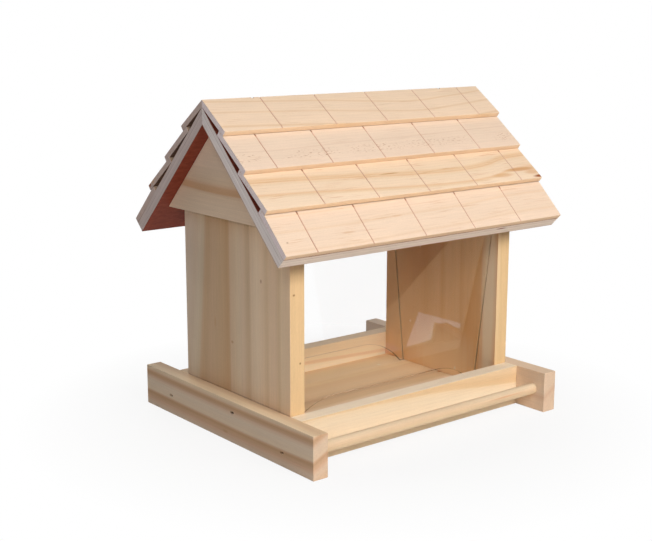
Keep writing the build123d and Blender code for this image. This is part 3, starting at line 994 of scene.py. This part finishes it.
def cord_drills():
    """Upright drills for the two cord holes through the ridge."""
    foot = RIDGE - CORD_DRILL_DROP
    return [rod((end * CORD_X, 0, foot), (0, 0, 1), CORD_RADIUS,
                CORD_DRILL_LENGTH) for end in ENDS.values()]


def drilled(mesh, name):
    """Drills the cord holes through a mesh that is in metres."""
    board = bmesh.new()
    board.from_mesh(mesh)
    bmesh.ops.scale(board, vec=(1 / MM,) * 3, verts=board.verts)
    return carve(board, cord_drills(), name)


for side_name, side in SIDES.items():
    for course in range(1, COURSES + 1):
        upper, lie, top = course_frame(side, course)
        corner = upper + lie * (course_width(course) - exposure()) + top * SHINGLE
        coat = dict(COURSE_WOOD[course])
        if course > 1:
            along = [place if side < 0 else 2 * ROOF_X - place for place in kerf_places(course)]
            # Painted shade: a dark dot where each kerf runs in under the course above.
            kerf_mouth_shade = tuple(((place, 1.0, 0), (1.1, 2.4, 3), "#8a5230", 0.85) for place in along)
            coat["marks"] = coat.get("marks", ()) + kerf_mouth_shade
        # The undersides are painted dark brown as painted shade in the wedge gaps under the boards.
        wood = pine(
            f"pine_shingle_{side_name}_{course}", (side * ROOF_X, corner.y, corner.z), (-side, 0, 0),
            tuple(lie),
            end_grain=END_GRAIN[side], narrow=("#efcba3", 0.6), sawn="#d09a74", under=("#5d3b2e", 0.85),
            **coat,
        )
        mesh = shingle_board(side, course, wood)
        if course == 1:
            mesh = drilled(mesh, f"shingle_{course}")
        as_piece(f"shingle_board_{side_name}_{course}", mesh, "roof", wood,
                 [f"shingle_{side_name}_{course}"])


# ---------------------------------------------------------------- plywood


def film_faced_plywood():
    """Thin veneers faced with dark red-brown film.

    The film is smooth and a little glossy and faintly mottled.  The sawn edges have
    weathered to a pale greyed pink, with thin glue lines that come and go, and are
    painted darker at the back verge as painted shade.
    """
    material, tree = empty_material("film_faced_plywood")
    place = add(tree, "TexCoord").outputs
    in_mm = add(tree, "VectorMath", (place["Object"], (1 / MM,) * 3, (0.0, 0.0, -RIDGE)),
                operation="MULTIPLY_ADD")
    parts = add(tree, "SeparateXYZ", (in_mm,))
    which = add(tree, "Math", (parts.outputs[1],), operation="SIGN")
    out_y = add(tree, "Math", (which, math.sin(PITCH)), operation="MULTIPLY")
    fall_y = add(tree, "Math", (which, math.cos(PITCH)), operation="MULTIPLY")
    outward = add(tree, "CombineXYZ", {1: out_y, 2: math.cos(PITCH)})
    fall = add(tree, "CombineXYZ", {1: fall_y, 2: -math.sin(PITCH)})
    through = add(tree, "VectorMath", (in_mm, outward), operation="DOT_PRODUCT").outputs["Value"]
    down = add(tree, "VectorMath", (in_mm, fall), operation="DOT_PRODUCT").outputs["Value"]
    lengthways = add(tree, "Math", (parts.outputs[0], which), operation="MULTIPLY")
    sheet = add(tree, "CombineXYZ", (lengthways, down, through))
    # Veneers: the edge in layers that swell and thin out along the board.
    ripple = stretched_noise(tree, sheet, (40, 40, 4), 2.0)
    swelling = add(tree, "Math", (ripple, 1.2, -0.6), operation="MULTIPLY_ADD")
    layer = add(tree, "Math", (swelling, through), operation="ADD")
    level = add(tree, "MapRange", {"Value": layer, "From Max": PLY})
    plies = add(tree, "ValToRGB", (level,))
    set_ramp(plies, [(height / PLY, shade) for height, shade in PLY_LAYERS])
    fade = stretched_noise(tree, sheet, (28, 28, 1.5), 1.0)
    faded = add(tree, "MapRange", {"Value": fade, "From Min": 0.4, "From Max": 0.62, "To Max": 0.75})
    inner = add(tree, "Math", (layer, 0.5), operation="GREATER_THAN")
    washed = add(tree, "Math", (faded, inner), operation="MULTIPLY")
    softened = add(tree, "Mix", {"Factor": washed, 6: plies, 7: "#f3e8e1"}, data_type="RGBA")
    fleck = stretched_noise(tree, sheet, (12, 12, 0.5), 3.0, 0.65)
    fleck_tone = add(tree, "MapRange", {
        "Value": fleck, "From Min": 0.3, "From Max": 0.7, "To Min": 0.93, "To Max": 1.05,
    })
    flecked = add(tree, "VectorMath", {
        0: softened.outputs[2], "Scale": fleck_tone,
    }, operation="SCALE").outputs[0]
    # The verge ends are painted darker at the back as painted shade, and the eaves are a little creamier.
    endways = add(tree, "SeparateXYZ", (place["Normal"],))
    sideways = add(tree, "Math", (endways.outputs[0],), operation="ABSOLUTE")
    at_back = add(tree, "Math", (which, 0.0), operation="GREATER_THAN")
    back_verge_shade = add(tree, "Mix", {"Factor": at_back, 6: "#ffffff", 7: "#ddd5d3"}, data_type="RGBA")
    eave_tint_and_verge_shade = add(tree, "Mix", {"Factor": sideways, 6: "#f6f0e8", 7: back_verge_shade.outputs[2]}, data_type="RGBA")
    edge = add(tree, "VectorMath", (flecked, eave_tint_and_verge_shade.outputs[2]), operation="MULTIPLY").outputs[0]
    # A smear of film dragged down by the saw, near the right end of the front eave.
    edge = stains_and_painted_light(tree, sheet, swelling, edge, [((-99, SLOPE, 8.7), (8, 3, 1.2), "#8a4a34", 0.85)])
    # Film: dark red-brown, mottled like pressed paper, with a few pale specks.
    mottle = stretched_noise(tree, sheet, (9, 4, 4), 5.0, 0.65)
    film = add(tree, "ValToRGB", (mottle,))
    set_ramp(film, [(0.3, "#7c3526"), (0.5, "#8d402d"), (0.7, "#9d4e38")])
    speck_place = add(tree, "VectorMath", (sheet, (1 / 3, 1 / 3, 1 / 3)), operation="MULTIPLY")
    speck = add(tree, "TexVoronoi", {"Vector": speck_place, "Scale": 0.35}, feature="F1")
    near_speck = add(tree, "MapRange", {
        "Value": speck.outputs["Distance"], "From Min": 0.07, "From Max": 0.03, "To Max": 0.5,
    })
    specked = add(tree, "Mix", {"Factor": near_speck, 6: film, 7: "#b98a76"}, data_type="RGBA")
    # The bare edge is where the surface faces along the slope, not out of it or into it.
    facing = add(tree, "VectorMath", (place["Normal"], outward), operation="DOT_PRODUCT")
    flat = add(tree, "Math", (facing.outputs["Value"],), operation="ABSOLUTE")
    on_film = add(tree, "Math", (flat, 0.8), operation="GREATER_THAN")
    colour = add(tree, "Mix", {"Factor": on_film, 6: edge, 7: specked.outputs[2]}, data_type="RGBA")
    roughness = add(tree, "MapRange", {"Value": on_film, "To Min": 0.78, "To Max": 0.5})
    fleck_height = add(tree, "Math", (fleck, 0.12 * MM), operation="MULTIPLY")
    relief = add(tree, "Bump", {"Height": fleck_height, "Distance": 1.0, "Strength": 0.5})
    shader = add(tree, "BsdfPrincipled", {
        "Base Color": colour.outputs[2], "Roughness": roughness, "Normal": relief, "IOR": 1.5,
        "Specular IOR Level": 0.15,
    })
    add(tree, "OutputMaterial", {"Surface": shader})
    return material


# Height above the inside face, and the colour of the edge there: film, veneers, glue.
PLY_LAYERS = [
    (0, "#bb917f"), (0.25, "#bb917f"), (0.5, "#eedfd5"), (1.5, "#f9ede5"), (1.7, "#e4d3c8"),
    (1.95, "#fef4ee"), (2.8, "#faefe9"), (3.1, "#c7b1aa"), (3.45, "#f6eae3"), (4.7, "#f9eee7"),
    (4.95, "#e3d2c8"), (5.25, "#fef4ee"), (7.6, "#f9ede6"), (7.95, "#bfa9a1"), (8.3, "#f3e7e0"),
    (9.6, "#f9ede6"), (9.85, "#dfcdc3"), (10.1, "#fdf2ec"), (11.5, "#ecdace"), (11.75, "#b88f7b"),
    (12, "#b88f7b"),
]
PLYWOOD = film_faced_plywood()


def plywood_panel(side):
    """One slope: veneers, each cut back by its own fraction of a millimetre."""
    chance = random.Random(5 + side)
    loops = []

    def loop(out, back):
        ring = []
        for down, x in ((None, -1), (None, 1), (SLOPE, 1), (SLOPE, -1)):
            ridge_down = -out * math.tan(PITCH)
            spot, _, _ = slope_frame(side, ridge_down if down is None else down - back, out)
            ring.append((x * (ROOF_X - back), spot.y, spot.z))
        return ring

    for ply in range(VENEERS):
        low, high = PLY * ply / VENEERS, PLY * (ply + 1) / VENEERS
        back = 0.0 if ply in (0, VENEERS - 1) else VENEER_CUT_BACK * chance.random()
        loops.append(loop(low + (GLUE_LINE if ply > 0 else 0), back))
        loops.append(loop(high - (GLUE_LINE if ply < VENEERS - 1 else 0), back))
    return loft(loops)


for side_name, side in SIDES.items():
    mesh = carve(plywood_panel(side), cord_drills(), f"panel_{side_name}")
    as_piece(f"plywood_{side_name}", mesh, "roof", PLYWOOD,
             [f"roof_panel_{side_name}"])


# ---------------------------------------------------------------- panes


CLOUDINESS = 0.985


def clear_acrylic(name, roughness, mirrors=1.0, unseen=0.0, shade="#ffffff", through="#fafbfa"):
    """Cast acrylic sheet: water-clear and glossy, with the faintest cloudy tint.

    mirrors is the share of its reflection that a face gives, and unseen is the share
    of a sight line that crosses it unbent.  shade colours what it bends, and through
    colours what it lets straight through.
    """
    material, tree = empty_material(name)
    place = add(tree, "TexCoord").outputs["Object"]
    haze = add(tree, "TexNoise", {"Vector": place, "Scale": 25.0, "Detail": 2.0})
    body = linear(shade)
    faint = tuple(channel * CLOUDINESS for channel in body[:3]) + (1,)
    clouded = add(tree, "Mix", {"Factor": haze, 6: body, 7: faint}, data_type="RGBA")
    sheet = add(tree, "BsdfPrincipled", {
        "Base Color": clouded.outputs[2], "IOR": 1.49, "Roughness": roughness,
        "Transmission Weight": 1.0, "Specular Tint": (mirrors, mirrors, mirrors, 1),
    })
    # Lamplight, and light that the wood scatters, goes straight through the sheet.
    clear = add(tree, "BsdfTransparent", {"Color": through})
    path = add(tree, "LightPath").outputs
    passing = add(tree, "Math", (path["Is Shadow Ray"], path["Is Diffuse Ray"]), operation="MAXIMUM")
    crossing = add(tree, "Math", (passing, unseen), operation="MAXIMUM")
    both = add(tree, "MixShader", (crossing, sheet, clear))
    add(tree, "OutputMaterial", {"Surface": both})
    return material


# By face: outside, sawn edge, inside, and edge in the groove.  The two faces of a thin
# sheet mirror the same thing, so the outer one does it alone.
ACRYLIC = (
    clear_acrylic("clear_acrylic", 0.0),
    # The edges' brown tints are painted shade: the sawn edge darkens what it bends and lets through, for
    # light bent away there, and the edge in the groove is tinted like the shaded groove behind it.
    clear_acrylic("sawn_acrylic_edge", 0.25, 0.05, 0.85, "#8a6f58", "#c6b5a5"),
    clear_acrylic("clear_acrylic_inside", 0.0, 0.0),
    clear_acrylic("acrylic_edge_in_groove", 0.25, 0.0, 0.98, "#c79a70", "#e0b184"),
)


def pane_outline():
    """Upright sheet with an arched lower edge, as points (x, up)."""
    rise = RIDGE - FLOOR - PANE_Y * math.tan(PITCH)
    groove_run = rise / (math.cos(LEAN) + math.sin(LEAN) * math.tan(PITCH))
    top = groove_run - PANE_HEADROOM
    foot = PANE_HALF - PANE_FOOT
    centre = foot - math.sqrt(ARCH_RADIUS**2 - (ARCH_RADIUS - ARCH_RISE) ** 2)
    low = ARCH_RISE - ARCH_RADIUS
    first = math.atan2(-low, foot - centre)
    arc = [first + (math.pi / 2 - first) * step / ARCH_STEPS for step in range(ARCH_STEPS + 1)]
    right = [(PANE_HALF, 0.0), (PANE_HALF, top)]
    curve = [(centre + ARCH_RADIUS * math.cos(a), low + ARCH_RADIUS * math.sin(a)) for a in arc]
    # From the right foot's inner corner round the arch to the left, then up and over.
    points = [right[1], right[0]] + curve
    return points + [(-x, up) for x, up in reversed(points)]


def pane_mesh(side):
    up = Vector((0, side * math.sin(LEAN), math.cos(LEAN)))
    outward = Vector((0, side * math.cos(LEAN), -math.sin(LEAN)))
    lift = PANE_THICKNESS / 2 * math.tan(LEAN)
    foot = Vector((0, side * PANE_Y, FLOOR)) + up * lift
    half = PANE_THICKNESS / 2
    outline = pane_outline()
    count = len(outline)
    inset = []
    for index in range(count):
        before, here, after = (Vector(outline[(index + k) % count]) for k in (-1, 0, 1))
        in_dir, out_dir = (here - before).normalized(), (after - here).normalized()
        side_in, side_out = Vector((in_dir.y, -in_dir.x)), Vector((out_dir.y, -out_dir.x))
        bisector = (side_in + side_out).normalized()
        inset.append(here + bisector * PANE_EASE / max(0.3, bisector.dot(side_in)))
    loops = []
    broad_half = half - PANE_EASE
    for points, shift in ((inset, -half), (outline, -broad_half), (outline, broad_half), (inset, half)):
        loops.append([tuple(Vector((point[0], 0,
            0)) + foot + up * point[1] + outward * shift) for point in points])
    shape = loft(loops)
    shape.faces.ensure_lookup_table()
    shape.normal_update()
    for face in shape.faces:
        broad = len(face.verts) > 4
        middle = face.calc_center_median()
        faces_out = (middle - foot).dot(outward) > 0
        in_groove = abs(middle.x) > PANE_HALF - 0.5
        face.material_index = (0 if faces_out else 2) if broad else (3 if in_groove else 1)
    return shape


for side_name, side in SIDES.items():
    mesh = to_mesh(pane_mesh(side), f"pane_{side_name}")
    as_piece(f"acrylic_pane_{side_name}", mesh, f"{side_name}_pane", ACRYLIC,
             [f"pane_{side_name}"])


# ---------------------------------------------------------------- nails


def nail_steel():
    """Drawn wire gone dull in the wood: dark grey steel with brown specks."""
    material, tree = empty_material("dull_nail_steel")
    place = add(tree, "TexCoord").outputs["Object"]
    spots = add(tree, "TexNoise", {"Vector": place, "Scale": 1400.0, "Detail": 2.0})
    colour = add(tree, "ValToRGB", (spots,))
    set_ramp(colour, [(0.35, "#3d3733"), (0.6, "#2c231e"), (0.75, "#21150f")])
    roughness = add(tree, "MapRange", {"Value": spots, "To Min": 0.35, "To Max": 0.7})
    shader = add(tree, "BsdfPrincipled", {"Base Color": colour, "Roughness": roughness, "Metallic": 0.6})
    add(tree, "OutputMaterial", {"Surface": shader})
    return material


def nail_tree():
    """Lost-head nails: a low domed head, a neck, a shank and a point, one on each vertex.

    The nail is drawn down -Z from the top of its head, and turned to each vertex's
    'heading'.  Sizes are in metres.
    """
    tree = bpy.data.node_groups.new("lost_head_nails", "GeometryNodeTree")
    open_sockets(tree, "INPUT", "Geometry", "Geometry")
    sizes = ("Length", "Shank Radius", "Head Radius", "Head Height", "Point Length")
    open_sockets(tree, "INPUT", "Float", *sizes)
    open_sockets(tree, "INPUT", "Material", "Steel")
    open_sockets(tree, "OUTPUT", "Geometry", "Geometry")
    source = add(tree, "NodeGroupInput").outputs
    shank_length = add(tree, "Math", (source["Length"], source["Point Length"]), operation="SUBTRACT")
    neck_height = add(tree, "Math", (source["Head Height"], 1.4), operation="MULTIPLY")
    crown = add(tree, "Math", (source["Head Radius"], 0.6), operation="MULTIPLY")
    # A turned shape: depth below the top of the head and radius at each station.
    stations = [
        (0.0, 0.0), (DOME[0] * MM, crown), (DOME[1] * MM, source["Head Radius"]),
        (source["Head Height"], source["Head Radius"]), (neck_height, source["Shank Radius"]),
        (shank_length, source["Shank Radius"]), (source["Length"], 0.0),
    ]
    which = add(tree, "GeometryNodeInputIndex")
    depth = add(tree, "GeometryNodeIndexSwitch", {}, data_type="FLOAT")
    radius = add(tree, "GeometryNodeIndexSwitch", {}, data_type="FLOAT")
    for switch, column in ((depth, 0), (radius, 1)):
        while len(switch.index_switch_items) < len(stations):
            switch.index_switch_items.new()
        tree.links.new(which.outputs[0], switch.inputs["Index"])
        for index, station in enumerate(stations):
            value = station[column]
            if isinstance(value, float):
                switch.inputs[1 + index].default_value = value
            else:
                socket = value if isinstance(value, bpy.types.NodeSocket) else value.outputs[0]
                tree.links.new(socket, switch.inputs[1 + index])
    height = add(tree, "Math", (depth, -1.0), operation="MULTIPLY")
    spot = add(tree, "CombineXYZ", {2: height})
    line = add(tree, "GeometryNodeMeshLine", {"Count": len(stations), "Offset": (0.0, 0.0, -MM)})
    drawn = add(tree, "GeometryNodeSetPosition", {"Geometry": line, "Position": spot})
    axis = add(tree, "GeometryNodeMeshToCurve", {"Mesh": drawn})
    rim = add(tree, "GeometryNodeCurvePrimitiveCircle", {"Resolution": 20, "Radius": 1.0})
    nail = add(tree, "GeometryNodeCurveToMesh", {"Curve": axis, "Profile Curve": rim, "Scale": radius})
    welded = add(tree, "GeometryNodeMergeByDistance", {"Geometry": nail, "Distance": 0.001 * MM})
    heading = add(tree, "GeometryNodeInputNamedAttribute", {"Name": "heading"}, data_type="FLOAT_VECTOR")
    turned = add(tree, "FunctionNodeAlignRotationToVector", {"Vector": heading}, axis="Z")
    nails = add(tree, "GeometryNodeInstanceOnPoints", {
        "Points": source["Geometry"], "Instance": welded, "Rotation": turned,
    })
    plain = add(tree, "GeometryNodeRealizeInstances", {"Geometry": nails})
    covered = add(tree, "GeometryNodeSetMaterial", {"Geometry": plain, "Material": source["Steel"]})
    add(tree, "NodeGroupOutput", {"Geometry": covered})
    return tree


NAIL_STEEL = nail_steel()
NAIL_TREE = nail_tree()


def driven_nails(name, places, length):
    """Nails at (top of head, direction out of the wood), as one plain mesh."""
    points = bpy.data.meshes.new(name)
    points.from_pydata([tuple(spot * MM) for spot, _ in places], [], [])
    heading = points.attributes.new("heading", "FLOAT_VECTOR", "POINT")
    for index, (_, outward) in enumerate(places):
        heading.data[index].vector = outward
    mesh = grown(NAIL_TREE, name, {
        "Length": length * MM, "Shank Radius": NAIL["shank"] * MM, "Head Radius": NAIL["head"] * MM,
        "Head Height": NAIL["head_height"] * MM, "Point Length": NAIL["point"] * MM, "Steel": NAIL_STEEL,
    }, points)
    shape = bmesh.new()
    shape.from_mesh(mesh)
    bmesh.ops.recalc_face_normals(shape, faces=shape.faces)
    shape.to_mesh(mesh)
    shape.free()
    return mesh


tray_nails = [(spot + inward * NAIL["sink"], -inward) for spot, inward in nail_places()]
mesh = driven_nails("tray_nail_set", tray_nails, NAIL["length"])
as_piece("tray_nail_set", mesh, "house", NAIL_STEEL, ["frame_nails"])
roof_nails = []
for end in ENDS.values():
    for side in SIDES.values():
        for down in ROOF_NAIL_DOWN:
            spot, _, outward = slope_frame(side, down, PLY)
            roof_nails.append((spot + Vector((end * (GABLE_X + STOCK / 2), 0, 0)), outward))
mesh = driven_nails("roof_nail_set", roof_nails, ROOF_NAIL_LENGTH)
as_piece("roof_nail_set", mesh, "roof", NAIL_STEEL, ["roof_nails"])


# ---------------------------------------------------------------- studio


def studio():
    """White floor that melts into a white surround, cards to mirror, and soft boxes."""
    scene = bpy.context.scene
    scene.view_settings.view_transform = "Standard"
    floor_mesh = bpy.data.meshes.new("studio_floor")
    signs = ((-1, -1), (1, -1), (1, 1), (-1, 1))
    corners = [(x * FLOOR_HALF, y * FLOOR_HALF, FLOOR_DROP) for x, y in signs]
    floor_mesh.from_pydata(corners, [], [(0, 1, 2, 3)])
    floor = placed("studio_floor", floor_mesh)
    floor_mesh.materials.append(white_paper())
    dark = mirrored_card("dark_card", DARK_CARD, 1.0, "#ffffff", 0.02)
    bright = mirrored_card("bright_card", BRIGHT_CARD, 2.0, "#ffffff", 2.1)
    cream = mirrored_card("cream_card", CREAM_CARD, 0.5, "#ffe6b4", 1.0)
    scene.world = pale_surround()
    for lamp in LAMPS:
        softbox(*lamp)


# Name, degrees round from the front, degrees up, share of full white, colour.
LAMPS = (
    ("front_softbox", 0, 31, 0.76, "#fff9f0"), ("left_softbox", -50, 28, 0.195, "#f2f5ff"),
    ("right_softbox", 50, 54, 0.09, "#f8faff"), ("back_softbox", 160, 15, 0.24, "#fffcf7"),
    ("side_softbox", -150, 40, 0.14, "#fdfdff"),
)
# Sizes of the studio are in metres.
LAMP_DISTANCE = 2.2
LAMP_SIZE = 0.9
FLOOR_HALF = 30.0

# Corners, in millimetres across the floor, of the cards that the front pane mirrors.
DARK_CARD = [(184, -272), (237, -299), (308, -343), (469, -441), (760, -620), (620, -775)]
BRIGHT_CARD = [(223, -250), (255, -203), (243, -193), (223, -219), (182, -182), (138, -179)]
CREAM_CARD = [(124, -203), (190, -279), (409, -532), (620, -775), (1200, -700), (900, -60), (150, -120)]


def mirrored_card(name, corners, height, shade, strength):
    """A card on the floor that shows only in glossy faces, and adds no scattered light."""
    mesh = bpy.data.meshes.new(name)
    mesh.from_pydata([(x * MM, y * MM, height * MM + FLOOR_DROP) for x, y in corners], [],
                     [tuple(range(len(corners)))])
    card = placed(name, mesh)
    for ray in ("camera", "diffuse", "transmission", "shadow", "volume_scatter"):
        setattr(card, f"visible_{ray}", False)
    material, tree = empty_material(name)
    glow = add(tree, "Emission", {"Color": shade, "Strength": strength})
    # Sight lines that pass through a pane count as glossy too, and go through the card.
    unseen = add(tree, "BsdfTransparent")
    path = add(tree, "LightPath").outputs
    mirrored = add(tree, "Math", (path["Is Glossy Ray"], path["Is Transmission Ray"]),
                   operation="SUBTRACT", use_clamp=True)
    both = add(tree, "MixShader", (mirrored, unseen, glow))
    add(tree, "OutputMaterial", {"Surface": both})
    mesh.materials.append(material)
    return card


FLOOR_DROP = -0.0004
LAMP_AIM = Vector((0, -0.02, 0.15))


def softbox(name, turn, height, share, colour):
    """A soft box, turn degrees round from the front and height degrees up.

    A white card that faces it alone would show at share of full white.
    """
    around, up = math.radians(turn), math.radians(height)
    direction = Vector((math.sin(around) * math.cos(up), -math.cos(around) * math.cos(up), math.sin(up)))
    lamp = bpy.data.lights.new(name, "AREA")
    lamp.shape = "RECTANGLE"
    lamp.size, lamp.size_y = LAMP_SIZE, LAMP_SIZE
    lamp.energy = share * (math.pi * LAMP_DISTANCE) ** 2
    lamp.color = linear(colour)[:3]
    holder = placed(name, lamp)
    holder.location = LAMP_AIM + direction * LAMP_DISTANCE
    holder.rotation_euler = (-direction).to_track_quat("-Z", "Y").to_euler()


def seen_white(tree):
    """1 where a camera, mirror or see-through ray lands, so that it finds plain white.

    Light that has left the wood counts no longer, so the white puts no light on it.
    """
    path = add(tree, "LightPath").outputs
    seen = add(tree, "Math", (path["Is Camera Ray"], path["Is Transmission Ray"]), operation="MAXIMUM")
    seen = add(tree, "Math", (seen, path["Is Glossy Ray"]), operation="MAXIMUM")
    straight = add(tree, "Math", (path["Diffuse Depth"], 0.5), operation="LESS_THAN")
    return add(tree, "Math", (seen, straight), operation="MULTIPLY")


def white_paper():
    """Matt white paper: plain white to the eye, with a faint shadow close to the feeder."""
    material, tree = empty_material("white_paper_floor")
    paper = add(tree, "BsdfDiffuse", {"Color": "#e2e1e0"})
    glow = add(tree, "Emission", {"Color": (1, 1, 1, 1), "Strength": 1.0})
    place = add(tree, "TexCoord").outputs["Object"]
    away = add(tree, "VectorMath", (place,), operation="LENGTH")
    share = add(tree, "MapRange", {
        "Value": away.outputs["Value"], "From Min": 0.2, "From Max": 0.36, "To Min": 0.88, "To Max": 1.0,
    })
    both = add(tree, "Math", (share, seen_white(tree)), operation="MULTIPLY")
    shown = add(tree, "MixShader", (both, paper, glow))
    add(tree, "OutputMaterial", {"Surface": shown})
    return material


def pale_surround():
    """The white beyond the floor, which is seen but hardly lights the wood."""
    world = bpy.data.worlds.new("pale_surround")
    world.use_nodes = True
    tree = world.node_tree
    tree.nodes.clear()
    strength = add(tree, "MapRange", {"Value": seen_white(tree), "To Min": 0.02, "To Max": 1.0})
    surround = add(tree, "Background", {"Color": (1, 1, 1, 1), "Strength": strength})
    add(tree, "OutputWorld", {"Surface": surround})
    return world


def viewpoint():
    """The camera: from the front left, a little higher than the ridge."""
    lens = bpy.data.cameras.new("camera")
    lens.sensor_width = 36.0
    lens.lens = 65.942
    lens.clip_end = 100.0
    camera = placed("camera", lens)
    forward = Vector((0.61236475, 0.76265137, -0.20826017)).normalized()
    right = Vector((0.77992483, -0.62587179, 0.00132762)).normalized()
    up = right.cross(forward)
    turned = Matrix((right, up, -forward)).transposed().to_4x4()
    place = Vector((-0.81343, -0.971465, 0.42322))
    camera.matrix_world = Matrix.Translation(place) @ turned
    bpy.context.scene.camera = camera


studio()
viewpoint()
